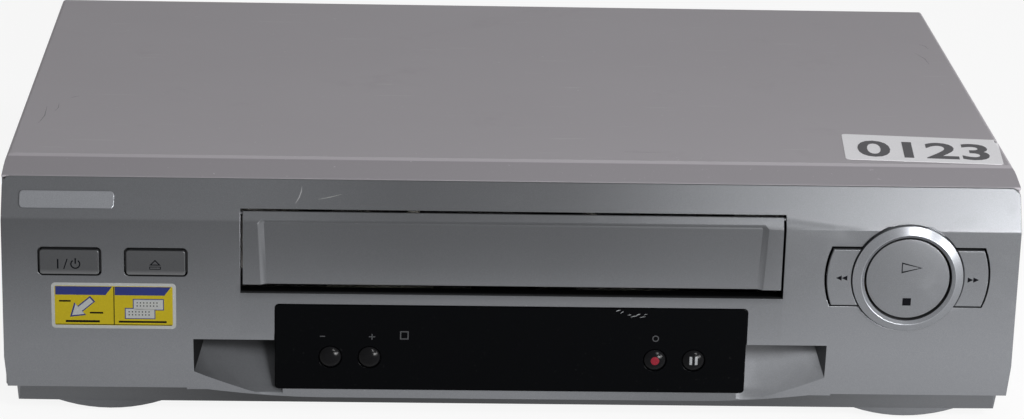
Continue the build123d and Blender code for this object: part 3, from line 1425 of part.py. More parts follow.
for name, side in (("left_guide", -1), ("right_guide", 1)):
    with BuildPart() as guide:
        with BuildSketch(Plane.YZ.offset(side * guide_inner_half)):
            with Locations((at_depth((DECK_FRONT + GUIDE_REAR) / 2), (DECK_TOP + guide_top) / 2)):
                Rectangle(GUIDE_REAR - DECK_FRONT, guide_top - DECK_TOP)
            window_front = guide_pin_depths[0] - pin_play
            window_rear = guide_pin_depths[1] + holder_travel + pin_play
            window_bottom = holder_pin_height - cassette_drop - pin_play
            window_top = holder_pin_height + pin_play
            with Locations((at_depth((window_front + window_rear) / 2), (window_bottom + window_top) / 2)):
                Rectangle(window_rear - window_front, window_top - window_bottom, mode=Mode.SUBTRACT)
        extrude(amount=side * GUIDE_WALL)
        flange_x = side * (guide_inner_half - GUIDE_FLANGE / 2)
        with BuildSketch(Plane.XY.offset(DECK_TOP)):
            with Locations((flange_x, at_depth((DECK_FRONT + GUIDE_REAR) / 2))):
                Rectangle(GUIDE_FLANGE, GUIDE_REAR - DECK_FRONT)
            with Locations(*[(x, at_depth(depth)) for x, depth in deck_corners]):
                Circle(SCREW_HEAD_RADIUS + SEAM, mode=Mode.SUBTRACT)
        extrude(amount=GUIDE_WALL)
    save(guide.part, name)

with BuildPart() as holder_carriage:
    with BuildSketch(Plane.XY.offset(carriage_bar_bottom)):
        with Locations((0, at_depth(drive_pin_depth))):
            Rectangle(2 * (carriage_inner_half + CARRIAGE_WALL), CARRIAGE_LEG_WIDTH)
    extrude(amount=CARRIAGE_WALL)
    for side in (-1, 1):
        with BuildSketch(Plane.YZ.offset(side * carriage_inner_half)):
            leg_bottom = holder_pin_height - cassette_drop - 3 * HOLDER_PIN_RADIUS
            with Locations((at_depth(drive_pin_depth), (leg_bottom + carriage_bar_bottom) / 2)):
                Rectangle(CARRIAGE_LEG_WIDTH, carriage_bar_bottom - leg_bottom)
            with Locations((at_depth(drive_pin_depth), holder_pin_height - cassette_drop / 2)):
                SlotCenterToCenter(
                    cassette_drop + TURNING_GAP,
                    2 * (HOLDER_PIN_RADIUS + 2 * RUNNING_CLEARANCE),
                    rotation=90,
                    mode=Mode.SUBTRACT,
                )
        extrude(amount=side * CARRIAGE_WALL)
save(holder_carriage.part, "holder_carriage")

with BuildPart() as cassette_holder:
    holder_middle = (holder_floor + holder_ceiling + HOLDER_WALL) / 2
    with BuildSketch(upright(HOLDER_FRONT)):
        with Locations((0, holder_middle)):
            Rectangle(2 * holder_outer_half, holder_ceiling + HOLDER_WALL - holder_floor)
        with Locations((0, (cassette_entry_height + holder_ceiling) / 2)):
            Rectangle(2 * holder_inner_half, holder_ceiling - cassette_entry_height, mode=Mode.SUBTRACT)
        with Locations((0, holder_floor)):
            Rectangle(2 * (holder_inner_half - HOLDER_LEDGE), 4 * HOLDER_WALL, mode=Mode.SUBTRACT)
    extrude(amount=-(holder_stop - HOLDER_FRONT))
    with BuildSketch(Plane.XY.offset(holder_ceiling)):
        with Locations((0, at_depth((HOLDER_FRONT + HOLDER_ROOF_FRONT) / 2))):
            Rectangle(2 * holder_inner_half, HOLDER_ROOF_FRONT - HOLDER_FRONT)
    extrude(amount=HOLDER_WALL, mode=Mode.SUBTRACT)
    with BuildSketch(upright(holder_stop)):
        stop_x = holder_outer_half - (HOLDER_LEDGE + HOLDER_WALL) / 2
        with Locations(*[(side * stop_x, holder_floor + HOLDER_STOP_HEIGHT / 2) for side in (-1, 1)]):
            Rectangle(HOLDER_LEDGE + HOLDER_WALL, HOLDER_STOP_HEIGHT)
    extrude(amount=-HOLDER_WALL)
    for side in (-1, 1):
        with BuildSketch(Plane.YZ.offset(side * holder_outer_half)):
            with Locations(*[(at_depth(depth), holder_pin_height) for depth in guide_pin_depths]):
                Circle(HOLDER_PIN_RADIUS)
        extrude(amount=side * (guide_outer_half - holder_outer_half))
        with BuildSketch(Plane.YZ.offset(side * holder_outer_half)):
            with Locations((at_depth(drive_pin_depth), holder_pin_height)):
                Circle(HOLDER_PIN_RADIUS)
        extrude(amount=side * (carriage_inner_half + CARRIAGE_WALL - holder_outer_half))
save(cassette_holder.part, "cassette_holder")

# ------------------------------------------------------------------ reels and reel drive


def turned(x, depth, profile):
    """Solid turned about a vertical axis from (radius, height) points."""
    with BuildPart() as piece:
        with BuildSketch(Plane(origin=(x, at_depth(depth), 0), x_dir=(1, 0, 0), z_dir=(0, -1, 0))):
            with BuildLine():
                Polyline(*profile, close=True)
            make_face()
        revolve(axis=Axis((x, at_depth(depth), 0), (0, 0, 1)))
    return piece.part


bore = SHAFT_RADIUS + RUNNING_CLEARANCE
reel_bore_top = SPINDLE_TOP - DECK_WALL
fin_root = SPINDLE_RADIUS - SHAFT_RADIUS
reel_profile = [
    (bore, turning_bottom),
    (REEL_RADIUS, turning_bottom),
    (REEL_RADIUS, turning_bottom + REEL_DISC),
    (REEL_HUB_RADIUS, turning_bottom + REEL_DISC),
    (REEL_HUB_RADIUS, REEL_HUB_TOP),
    (SPINDLE_RADIUS, REEL_HUB_TOP),
    (SPINDLE_RADIUS, SPINDLE_TOP - SHAFT_RADIUS),
    (SPINDLE_RADIUS - SHAFT_RADIUS, SPINDLE_TOP),
    (0.0, SPINDLE_TOP),
    (0.0, reel_bore_top),
    (bore, reel_bore_top),
]
for name, (x, depth) in zip(("supply_reel", "take_up_reel"), reel_places):
    with BuildPart() as reel:
        add(turned(x, depth, reel_profile))
        with BuildSketch(Plane.XY.offset(REEL_HUB_TOP)):
            with Locations((x, at_depth(depth))):
                with PolarLocations((fin_root + SPINDLE_FIN_REACH) / 2, SPINDLE_FINS):
                    Rectangle(SPINDLE_FIN_REACH - fin_root, SPINDLE_FIN_WIDTH)
        extrude(amount=SPINDLE_TOP - 3 * SHAFT_RADIUS - REEL_HUB_TOP)
    save(reel.part, name)

pulley_top = deck_underside - FLYWHEEL_GAP - FLYWHEEL_HEIGHT
pulley_bottom = pulley_top - PULLEY_HEIGHT
clutch_profile = [
    (0.0, pulley_bottom),
    (CLUTCH_RADIUS, pulley_bottom),
    (CLUTCH_RADIUS, pulley_top),
    (CLUTCH_HUB_RADIUS, pulley_top),
    (CLUTCH_HUB_RADIUS, turning_bottom),
    (0.0, turning_bottom),
]
save(turned(0.0, CLUTCH_DEPTH, clutch_profile), "clutch_pulley")

wheel_top = turning_bottom + REEL_DISC
idler_arm_bottom = wheel_top + TURNING_GAP
idler_arm_top = idler_arm_bottom + IDLER_ARM_WALL
wheel_profile = [
    (0.0, turning_bottom),
    (DRIVE_WHEEL_RADIUS, turning_bottom),
    (DRIVE_WHEEL_RADIUS, wheel_top),
    (SHAFT_RADIUS, wheel_top),
    (SHAFT_RADIUS, idler_arm_top),
    (0.0, idler_arm_top),
]
save(turned(0.0, CLUTCH_DEPTH, wheel_profile), "drive_wheel")

idler_depth = CLUTCH_DEPTH - DRIVE_WHEEL_RADIUS - IDLER_RADIUS - BELT_GAP
idler_profile = [
    (bore, turning_bottom),
    (IDLER_RADIUS, turning_bottom),
    (IDLER_RADIUS, wheel_top),
    (bore, wheel_top),
]
save(turned(0.0, idler_depth, idler_profile), "idler_wheel")

with BuildPart() as idler_arm:
    with BuildSketch(Plane.XY.offset(idler_arm_bottom)):
        with Locations((0, at_depth((CLUTCH_DEPTH + idler_depth) / 2))):
            SlotCenterToCenter(CLUTCH_DEPTH - idler_depth, IDLER_ARM_WIDTH, rotation=90)
        with Locations((0, at_depth(CLUTCH_DEPTH))):
            Circle(bore, mode=Mode.SUBTRACT)
    extrude(amount=IDLER_ARM_WALL)
    with BuildSketch(Plane.XY.offset(idler_arm_bottom)):
        with Locations((0, at_depth(idler_depth))):
            Circle(SHAFT_RADIUS)
    extrude(amount=turning_bottom - idler_arm_bottom)
save(idler_arm.part, "idler_arm")

belt_places = [(CAPSTAN_X, CAPSTAN_DEPTH, CAPSTAN_PULLEY_RADIUS), (0.0, CLUTCH_DEPTH, CLUTCH_RADIUS)]


def belt_outline(growth):
    """Closed loop round the two pulleys, a distance outside their rims."""
    with BuildSketch(Plane.XY.offset(pulley_bottom + (PULLEY_HEIGHT - BELT_WIDTH) / 2)) as loop:
        for x, depth, radius in belt_places:
            with Locations((x, at_depth(depth))):
                Circle(radius + growth)
        make_hull()
    return loop.sketch


belt_loops = [belt_outline(BELT_GAP + BELT_WALL), belt_outline(BELT_GAP)]
with BuildPart() as drive_belt:
    extrude(belt_loops[0], amount=BELT_WIDTH)
    extrude(belt_loops[1], amount=BELT_WIDTH, mode=Mode.SUBTRACT)
save(drive_belt.part, "drive_belt")

# ------------------------------------------------------------------------- head drum

tilt = radians(DRUM_TILT)
drum_plane = Plane(
    origin=(0, at_depth(DRUM_DEPTH), DECK_TOP + DRUM_FOOT_HEIGHT),
    x_dir=(cos(tilt), 0, -sin(tilt)),
    z_dir=(sin(tilt), 0, cos(tilt)),
)
upper_drum_start = DRUM_LOWER_HEIGHT + DRUM_GAP

with BuildPart() as lower_drum:
    with BuildSketch(drum_plane):
        Circle(DRUM_RADIUS)
    extrude(amount=DRUM_LOWER_HEIGHT)
    with BuildSketch(Plane.XY.offset(DECK_TOP)):
        with Locations((0, at_depth(DRUM_DEPTH))):
            Circle(DRUM_FOOT_RADIUS)
    extrude(amount=DRUM_FOOT_HEIGHT + DRUM_FOOT_RADIUS * sin(tilt))
    with BuildSketch(drum_plane):
        Circle(DRUM_SHAFT_RADIUS + RUNNING_CLEARANCE)
    extrude(amount=DRUM_LOWER_HEIGHT, mode=Mode.SUBTRACT)
save(lower_drum.part, "lower_drum")

with BuildPart() as upper_drum:
    with BuildSketch(drum_plane.offset(upper_drum_start)):
        Circle(DRUM_RADIUS)
    extrude(amount=DRUM_UPPER_HEIGHT)
    fillet(upper_drum.edges().filter_by(GeomType.CIRCLE).sort_by(Axis.Z)[-1], DRUM_EDGE_RADIUS)
    with BuildSketch(drum_plane.offset(upper_drum_start)):
        with PolarLocations(DRUM_RADIUS, 2):
            Rectangle(HEAD_NOTCH_WIDTH / 2, HEAD_NOTCH_WIDTH)
    extrude(amount=HEAD_NOTCH_HEIGHT, mode=Mode.SUBTRACT)
    with BuildSketch(drum_plane.offset(upper_drum_start)):
        Circle(DRUM_SHAFT_RADIUS)
    extrude(amount=-(DRUM_LOWER_HEIGHT - DRUM_SHAFT_RADIUS))
save(upper_drum.part, "upper_drum")

with BuildPart() as drum_rotor:
    with BuildSketch(drum_plane.offset(upper_drum_start + DRUM_UPPER_HEIGHT)):
        Circle(ROTOR_RADIUS)
    extrude(amount=ROTOR_HEIGHT)
    chamfer(drum_rotor.edges().filter_by(GeomType.CIRCLE).sort_by(Axis.Z)[-1], SHAFT_RADIUS)
save(drum_rotor.part, "drum_rotor")

# --------------------------------------------------------------- capstan, pinch roller

capstan_profile = [
    (0.0, pulley_bottom),
    (CAPSTAN_PULLEY_RADIUS, pulley_bottom),
    (CAPSTAN_PULLEY_RADIUS, pulley_top),
    (FLYWHEEL_RADIUS, pulley_top),
    (FLYWHEEL_RADIUS, pulley_top + FLYWHEEL_HEIGHT),
    (SHAFT_RADIUS, pulley_top + FLYWHEEL_HEIGHT),
    (SHAFT_RADIUS, CAPSTAN_TOP),
    (0.0, CAPSTAN_TOP),
]
save(turned(CAPSTAN_X, CAPSTAN_DEPTH, capstan_profile), "capstan")

housing_profile = [
    (bore, DECK_TOP),
    (2 * CAPSTAN_HOUSING_RADIUS, DECK_TOP),
    (2 * CAPSTAN_HOUSING_RADIUS, DECK_TOP + DECK_WALL),
    (CAPSTAN_HOUSING_RADIUS, DECK_TOP + DECK_WALL),
    (CAPSTAN_HOUSING_RADIUS, CAPSTAN_HOUSING_TOP),
    (bore, CAPSTAN_HOUSING_TOP),
]
save(turned(CAPSTAN_X, CAPSTAN_DEPTH, housing_profile), "capstan_bearing")

arm_turn = radians(PINCH_ARM_ANGLE)
roller_place = (
    PINCH_PIVOT_X + PINCH_ARM_REACH * cos(arm_turn),
    PINCH_PIVOT_DEPTH + PINCH_ARM_REACH * sin(arm_turn),
)
arm_middle = (
    (PINCH_PIVOT_X + roller_place[0]) / 2,
    at_depth((PINCH_PIVOT_DEPTH + roller_place[1]) / 2),
)
roller_bottom = PINCH_ARM_BOTTOM + PINCH_ARM_WALL + TURNING_GAP
roller_top = roller_bottom + PINCH_ROLLER_HEIGHT
with BuildPart() as pinch_arm:
    with BuildSketch(Plane.XY.offset(PINCH_ARM_BOTTOM)):
        with Locations(arm_middle):
            SlotCenterToCenter(PINCH_ARM_REACH, PINCH_ARM_WIDTH, rotation=PINCH_ARM_ANGLE)
    extrude(amount=PINCH_ARM_WALL)
    with BuildSketch(Plane.XY.offset(turning_bottom)):
        with Locations((PINCH_PIVOT_X, at_depth(PINCH_PIVOT_DEPTH))):
            Circle(PINCH_ARM_WIDTH / 2)
    extrude(amount=PINCH_ARM_BOTTOM - turning_bottom)
    with BuildSketch(Plane.XY.offset(turning_bottom)):
        with Locations((PINCH_PIVOT_X, at_depth(PINCH_PIVOT_DEPTH))):
            Circle(bore)
    extrude(amount=PINCH_ARM_BOTTOM + PINCH_ARM_WALL - turning_bottom, mode=Mode.SUBTRACT)
    with BuildSketch(Plane.XY.offset(PINCH_ARM_BOTTOM + PINCH_ARM_WALL)):
        with Locations((roller_place[0], at_depth(roller_place[1]))):
            Circle(SHAFT_RADIUS)
    extrude(amount=PINCH_ROLLER_HEIGHT + 2 * SHAFT_RADIUS)
save(pinch_arm.part, "pinch_arm")

roller_profile = [
    (bore, roller_bottom),
    (PINCH_ROLLER_RADIUS, roller_bottom),
    (PINCH_ROLLER_RADIUS, roller_top),
    (bore, roller_top),
]
save(turned(roller_place[0], roller_place[1], roller_profile), "pinch_roller")

# ----------------------------------------------------------------- tape guides and heads

post_top = turning_bottom + POST_BASE_WALL + POST_HEIGHT
for name, side in (("supply_post", -1), ("take_up_post", 1)):
    post_x = side * POST_START_X
    turn = post_angle if side > 0 else 180.0 - post_angle
    with BuildPart() as post:
        with BuildSketch(Plane.XY.offset(turning_bottom)):
            with Locations((post_x, at_depth(POST_START_DEPTH))):
                SlotOverall(POST_BASE_LENGTH, POST_BASE_WIDTH, rotation=turn)
        extrude(amount=POST_BASE_WALL)
        with BuildSketch(Plane.XY.offset(turning_bottom + POST_BASE_WALL)):
            with Locations((post_x, at_depth(POST_START_DEPTH))):
                Circle(POST_RADIUS)
        extrude(amount=POST_HEIGHT)
        with BuildSketch(Plane.XY.offset(post_top - SHAFT_RADIUS)):
            with Locations((post_x, at_depth(POST_START_DEPTH))):
                Circle(POST_RADIUS + TURNING_GAP)
        extrude(amount=SHAFT_RADIUS)
        with BuildSketch(Plane.XY.offset(turning_bottom)):
            with Locations((post_x, at_depth(POST_START_DEPTH))):
                Circle(SHAFT_RADIUS)
        extrude(amount=-(TURNING_GAP + DECK_WALL))
    save(post.part, name)

head_places = [(ERASE_HEAD_X, ERASE_HEAD_DEPTH, 0.0), (SOUND_HEAD_X, SOUND_HEAD_DEPTH, SOUND_HEAD_TURN)]
with BuildPart() as tape_heads:
    for x, depth, turn in head_places:
        with BuildSketch(Plane.XY.offset(DECK_TOP)):
            with Locations((x, at_depth(depth))):
                Rectangle(HEAD_WIDTH, HEAD_THICKNESS, rotation=turn)
        extrude(amount=POST_BASE_WALL)
        with BuildSketch(Plane.XY.offset(DECK_TOP + POST_BASE_WALL)):
            with Locations((x, at_depth(depth))):
                Rectangle(HEAD_WIDTH - DECK_WALL, HEAD_THICKNESS - DECK_WALL, rotation=turn)
        extrude(amount=HEAD_HEIGHT)
save(tape_heads.part, "tape_heads")

# -------------------------------------------------------------------- loading drive

with BuildPart() as loading_motor:
    with BuildSketch(Plane.XY.offset(deck_underside)):
        with Locations((MOTOR_X, at_depth(MOTOR_DEPTH))):
            Circle(MOTOR_RADIUS)
    extrude(amount=-MOTOR_HEIGHT)
    chamfer(loading_motor.faces().sort_by(Axis.Z)[0].edges(), SHEET)
    with BuildSketch(Plane.XY.offset(deck_underside)):
        with Locations((MOTOR_X, at_depth(MOTOR_DEPTH))):
            Circle(bore)
    extrude(amount=-MOTOR_HEIGHT / 2, mode=Mode.SUBTRACT)
save(loading_motor.part, "loading_motor")

gear_top = turning_bottom + GEAR_FACE


def toothed_gear(place, teeth, first_tooth):
    """Spur gear with straight-flanked teeth and a raised hub."""
    pitch_radius = GEAR_MODULE * teeth / 2
    tip = GEAR_ADDENDUM * GEAR_MODULE
    root = -GEAR_DEDENDUM * GEAR_MODULE
    inner = root - tip
    flank = tan(radians(GEAR_PRESSURE_ANGLE))
    pitch_half = (GEAR_MODULE * pi / 2 - GEAR_BACKLASH) / 2
    tooth = [
        (inner, -pitch_half + flank * inner),
        (tip, -pitch_half + flank * tip),
        (tip, pitch_half - flank * tip),
        (inner, pitch_half - flank * inner),
    ]
    centre = (place[0], at_depth(place[1]))
    with BuildPart() as gear:
        with BuildSketch(Plane.XY.offset(turning_bottom)):
            with Locations(centre):
                Circle(pitch_radius + root)
                with PolarLocations(pitch_radius, teeth, start_angle=first_tooth):
                    Polygon(*tooth, align=None)
        extrude(amount=GEAR_FACE)
        with BuildSketch(Plane.XY.offset(gear_top)):
            with Locations(centre):
                Circle(GEAR_HUB_RADIUS)
        extrude(amount=GEAR_HUB_HEIGHT)
    return gear.part


link_first_tooth = LINK_DIRECTION + 180.0 + 180.0 / LINK_TEETH
idle_gears = {
    "cam_gear": (cam_place, CAM_TEETH, LINK_DIRECTION),
    "link_gear": (link_place, LINK_TEETH, link_first_tooth),
}
for name, (place, teeth, first_tooth) in idle_gears.items():
    with BuildPart() as gear:
        add(toothed_gear(place, teeth, first_tooth))
        with BuildSketch(Plane.XY.offset(turning_bottom)):
            with Locations((place[0], at_depth(place[1]))):
                Circle(bore)
        extrude(amount=GEAR_FACE + GEAR_HUB_HEIGHT, mode=Mode.SUBTRACT)
    save(gear.part, name)

with BuildPart() as loading_pinion:
    add(toothed_gear(motor_place, PINION_TEETH, 180.0 / PINION_TEETH))
    with BuildSketch(Plane.XY.offset(turning_bottom)):
        with Locations((MOTOR_X, at_depth(MOTOR_DEPTH))):
            Circle(SHAFT_RADIUS)
    extrude(amount=deck_underside - MOTOR_HEIGHT / 2 + TURNING_GAP - turning_bottom)
save(loading_pinion.part, "loading_pinion")
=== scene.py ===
import json
import math

import bmesh
import bpy
from mathutils import Matrix, Vector
from mathutils.bvhtree import BVHTree


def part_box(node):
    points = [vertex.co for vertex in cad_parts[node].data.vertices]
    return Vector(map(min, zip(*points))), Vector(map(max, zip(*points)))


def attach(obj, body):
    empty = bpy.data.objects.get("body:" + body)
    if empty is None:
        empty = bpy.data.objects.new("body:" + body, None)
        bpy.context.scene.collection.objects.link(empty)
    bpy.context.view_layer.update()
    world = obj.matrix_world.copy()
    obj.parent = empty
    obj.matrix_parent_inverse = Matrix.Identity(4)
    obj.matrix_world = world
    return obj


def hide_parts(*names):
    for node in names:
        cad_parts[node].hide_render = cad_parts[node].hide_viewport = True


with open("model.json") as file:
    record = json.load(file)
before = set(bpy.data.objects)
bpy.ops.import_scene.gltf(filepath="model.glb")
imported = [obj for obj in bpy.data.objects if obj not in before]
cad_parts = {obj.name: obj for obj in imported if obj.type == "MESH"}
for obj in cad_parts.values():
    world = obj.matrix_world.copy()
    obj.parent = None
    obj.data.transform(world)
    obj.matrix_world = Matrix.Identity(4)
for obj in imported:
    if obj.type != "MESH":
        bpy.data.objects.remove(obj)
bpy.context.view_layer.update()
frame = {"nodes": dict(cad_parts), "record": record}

MM = 0.001

# The crease is the foremost line of the moulded front; depths count back from it.
CREASE_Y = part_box("front_panel")[0].y
CREASE_Z = 73.2 * MM
LOWER_CREASE_Z = 22.7 * MM
# The face leans back below the crease, and by as much again below the lower crease.
FACE_LEAN = math.radians(1.5)
# The band above the crease runs back this far for each unit of height.
BAND_SLOPE = 0.5435
TOP_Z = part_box("top_cover")[1].z
BACK_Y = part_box("rear_panel")[1].y
# Half the width of the flap's face, and the gap at each of its ends
FLAP_HALF = 94.0 * MM
FLAP_GAP = 0.75 * MM
# Where the cover's front fold ends
FOLD_Y = CREASE_Y + 23.0 * MM
RING_Z = CREASE_Z - 17.1 * MM
SCREW_HEAD_HEIGHT = 1.8 * MM
SOCKET_RECESS = 1.0 * MM
SOCKET_Z = 24.0 * MM

# Corners of the CAD meshes nearer than this are one corner, and triangles that meet at
# less than this angle are one face.
SEAM = 2e-6
FLAT = math.radians(0.03)
# Faces that meet at less than this are shaded as one curved surface.
SOFT_EDGE = math.radians(11.0)
SOFT_RING_EDGE = math.radians(35.0)
# Edges are eased that are sharper than this, face out this far and have this much room.
EASED_EDGE = math.radians(20.0)
OUTWARD_SHARE = 0.3
FREE_ROOM = 12.0 * MM
# How strongly large faces set a shape's shading
LARGE_FACE_WEIGHT = 90
# Marks are laid from this far off and rooted this deep.
STAND_OFF = 20.0 * MM
FILM_ROOT = 0.03 * MM
WHITE = (1.0, 1.0, 1.0, 1.0)


# ------ node toolkit


class Signal:
    """An output socket that takes part in ordinary arithmetic."""

    def __init__(self, tree, socket):
        self.tree = tree
        self.socket = socket

    def _math(self, operation, *terms):
        return self.tree.add("ShaderNodeMath", {"operation": operation}, dict(enumerate(terms)))

    def __add__(self, other):
        return self._math("ADD", self, other)

    def __radd__(self, other):
        return self._math("ADD", other, self)

    def __sub__(self, other):
        return self._math("SUBTRACT", self, other)

    def __rsub__(self, other):
        return self._math("SUBTRACT", other, self)

    def __mul__(self, other):
        return self._math("MULTIPLY", self, other)

    def __rmul__(self, other):
        return self._math("MULTIPLY", other, self)

    def __abs__(self):
        return self._math("ABSOLUTE", self)

    def or_else(self, other):
        return self._math("MAXIMUM", self, other)

    def ramp(self, low, high):
        """0 below low, 1 above high, smooth between them."""
        return self.tree.add(
            "ShaderNodeMapRange",
            {"interpolation_type": "SMOOTHSTEP"},
            {"Value": self, "From Min": low, "From Max": high},
        )

    def fall(self, low, high):
        """1 below low, 0 above high, smooth between them."""
        return 1.0 - self.ramp(low, high)


class NodeTree:
    """Adds nodes to a tree through one method."""

    def __init__(self, tree):
        self.tree = tree
        tree.nodes.clear()

    def add(self, kind, settings=None, inputs=None, output=0):
        node = self.tree.nodes.new(kind)
        for key, value in (settings or {}).items():
            setattr(node, key, value)
        for key, value in (inputs or {}).items():
            for source in value if isinstance(value, list) else [value]:
                if isinstance(source, Signal):
                    self.tree.links.new(source.socket, node.inputs[key])
                else:
                    node.inputs[key].default_value = source
        return Signal(self, node.outputs[output]) if node.outputs else node


class Finish(NodeTree):
    """The node tree of one material."""

    def __init__(self, name):
        self.material = bpy.data.materials.new(name)
        self.material.use_nodes = True
        super().__init__(self.material.node_tree)
        self.place = self.add("ShaderNodeTexCoord", output="Object")

    def mapped(self, stretch=(1, 1, 1), shift=(0, 0, 0), turn=(0, 0, 0)):
        inputs = {"Vector": self.place, "Scale": stretch, "Location": shift, "Rotation": turn}
        return self.add("ShaderNodeMapping", inputs=inputs)

    def noise(self, scale, detail=2.0, roughness=0.5, stretch=(1, 1, 1), shift=(0, 0, 0), turn=(0, 0, 0)):
        return self.add(
            "ShaderNodeTexNoise",
            inputs={
                "Vector": self.mapped(stretch, shift, turn),
                "Scale": scale,
                "Detail": detail,
                "Roughness": roughness,
            },
        )

    def cells(self, scale, stretch=(1, 1, 1), output="Distance"):
        at = self.mapped(stretch)
        return self.add("ShaderNodeTexVoronoi", inputs={"Vector": at, "Scale": scale}, output=output)

    def axis(self, letter):
        return self.add("ShaderNodeSeparateXYZ", inputs={0: self.place}, output=letter)

    def streaks(self, scale, angle, share, shift):
        """Sparse straight rub marks: long flecks of a noise stretched along a turned axis."""
        fleck = self.noise(scale, 1.0, 0.4, (0.05, 1.0, 1.0), shift, (0.0, 0.0, angle))
        patch = self.noise(scale * 0.06, 2.0, 0.5, shift=shift)
        return fleck.ramp(1.0 - share, 1.04 - share) * patch.ramp(0.5, 0.62)

    def blend(self, factor, first, second, way="MIX"):
        """First colour where the factor is 0, the second mixed in where it is 1."""
        return self.add(
            "ShaderNodeMix",
            {"data_type": "RGBA", "blend_type": way},
            {0: factor, 6: first, 7: second},
            output=2,
        )

    def bump(self, height, distance, strength):
        inputs = {"Height": height, "Distance": distance, "Strength": strength}
        return self.add("ShaderNodeBump", inputs=inputs)

    def surface(self, **sockets):
        """Closes the finish with one surface shader and returns the material."""
        inputs = {name.replace("_", " "): value for name, value in sockets.items()}
        shader = self.add("ShaderNodeBsdfPrincipled", inputs=inputs)
        self.add("ShaderNodeOutputMaterial", inputs={"Surface": shader})
        return self.material


class Growth(NodeTree):
    """A geometry node tree with named sizes that ends in real, painted geometry."""

    def __init__(self, name, *sizes):
        group = bpy.data.node_groups.new(name, "GeometryNodeTree")
        super().__init__(group)
        group.interface.new_socket("Geometry", in_out="OUTPUT", socket_type="NodeSocketGeometry")
        group.interface.new_socket("Seats", in_out="INPUT", socket_type="NodeSocketGeometry")
        for size in sizes:
            group.interface.new_socket(size, in_out="INPUT", socket_type="NodeSocketFloat")
        self.seats = self.add("NodeGroupInput", output="Seats")
        self.sizes = [self.add("NodeGroupInput", output=size) for size in sizes]

    def vector(self, x=0.0, y=0.0, z=0.0):
        return self.add("ShaderNodeCombineXYZ", inputs={0: x, 1: y, 2: z})

    def block(self, size_x, size_y, size_z, middle):
        cube = self.add("GeometryNodeMeshCube", inputs={"Size": self.vector(size_x, size_y, size_z)})
        return self.add("GeometryNodeTransform", inputs={"Geometry": cube, "Translation": middle})

    def disc(self, kind, sides, depth, middle, **radii):
        inputs = {name.replace("_", " "): value for name, value in radii.items()}
        round_part = self.add(kind, inputs={"Vertices": sides, "Depth": depth, **inputs})
        return self.add("GeometryNodeTransform", inputs={"Geometry": round_part, "Translation": middle})

    def cut(self, solid, *cutters):
        return self.add(
            "GeometryNodeMeshBoolean",
            {"operation": "DIFFERENCE", "solver": "EXACT"},
            {"Mesh 1": solid, "Mesh 2": list(cutters)},
        )

    def close(self, shapes, material):
        """Sets the joined shapes on every seat, facing its way, and closes the tree."""
        joined = self.add("GeometryNodeJoinGeometry", inputs={"Geometry": shapes})
        vectors = {"data_type": "FLOAT_VECTOR"}
        facing = self.add("GeometryNodeInputNamedAttribute", vectors, {"Name": "facing"})
        turn = self.add("FunctionNodeAlignRotationToVector", {"axis": "Z"}, {"Vector": facing})
        seated = {"Points": self.seats, "Instance": joined, "Rotation": turn}
        placed = self.add("GeometryNodeInstanceOnPoints", inputs=seated)
        real = self.add("GeometryNodeRealizeInstances", inputs={"Geometry": placed})
        painted = self.add("GeometryNodeSetMaterial", inputs={"Geometry": real, "Material": material})
        self.add("NodeGroupOutput", inputs={"Geometry": painted})
        return self.tree


def grey(level, warm=0.0):
    """Opaque colour of a grey level; warm tilts it to red, a negative value to blue."""
    return (level * (1 + warm), level * (1 + warm * 0.3), level * (1 - warm * 1.2), 1.0)


def toned(color, share=1.0):
    """Opaque colour of a share of the given one."""
    return (*(min(1.0, part * share) for part in color), 1.0)


# ------ finishes


def cover_paint():
    """Baked grey paint with a faint warm cast, painted shade darkening the front fold, dust specks and
    rub marks.
    """
    f = Finish("cover_paint")
    cloud = f.noise(7.0, 3.0, 0.6)
    grain = f.noise(2300.0, 2.0, 0.6)
    speck = f.noise(520.0, 2.0, 0.75).ramp(0.7, 0.78)
    smudge = f.noise(21.0, 4.0, 0.7, shift=(3.1, 0.4, 0.0)).ramp(0.58, 0.8)
    rub = f.streaks(620.0, 0.7, 0.27, (1.3, 7.7, 2.0))
    rub = rub.or_else(f.streaks(540.0, -1.1, 0.27, (4.1, 0.7, 6.0)))
    # Painted shade: the front fold is darkened.
    fold_shade = f.axis("Y").fall(FOLD_Y - 0.4 * MM, FOLD_Y + 0.4 * MM)
    base = f.blend(cloud, (0.305, 0.288, 0.308, 1), (0.34, 0.324, 0.346, 1))
    base = f.blend(fold_shade * 0.9, base, (0.2, 0.19, 0.204, 1))
    base = f.blend(smudge * 0.3, base, (0.235, 0.22, 0.235, 1))
    base = f.blend(speck * 0.3, base, (0.6, 0.59, 0.6, 1))
    base = f.blend(rub * 0.07, base, (0.55, 0.54, 0.55, 1))
    return f.surface(
        Base_Color=base,
        Roughness=grain * 0.12 + (0.5 - rub * 0.1),
        Specular_IOR_Level=0.22,
        Normal=f.bump(grain + cloud * 0.3, 0.00003, 0.5),
    )


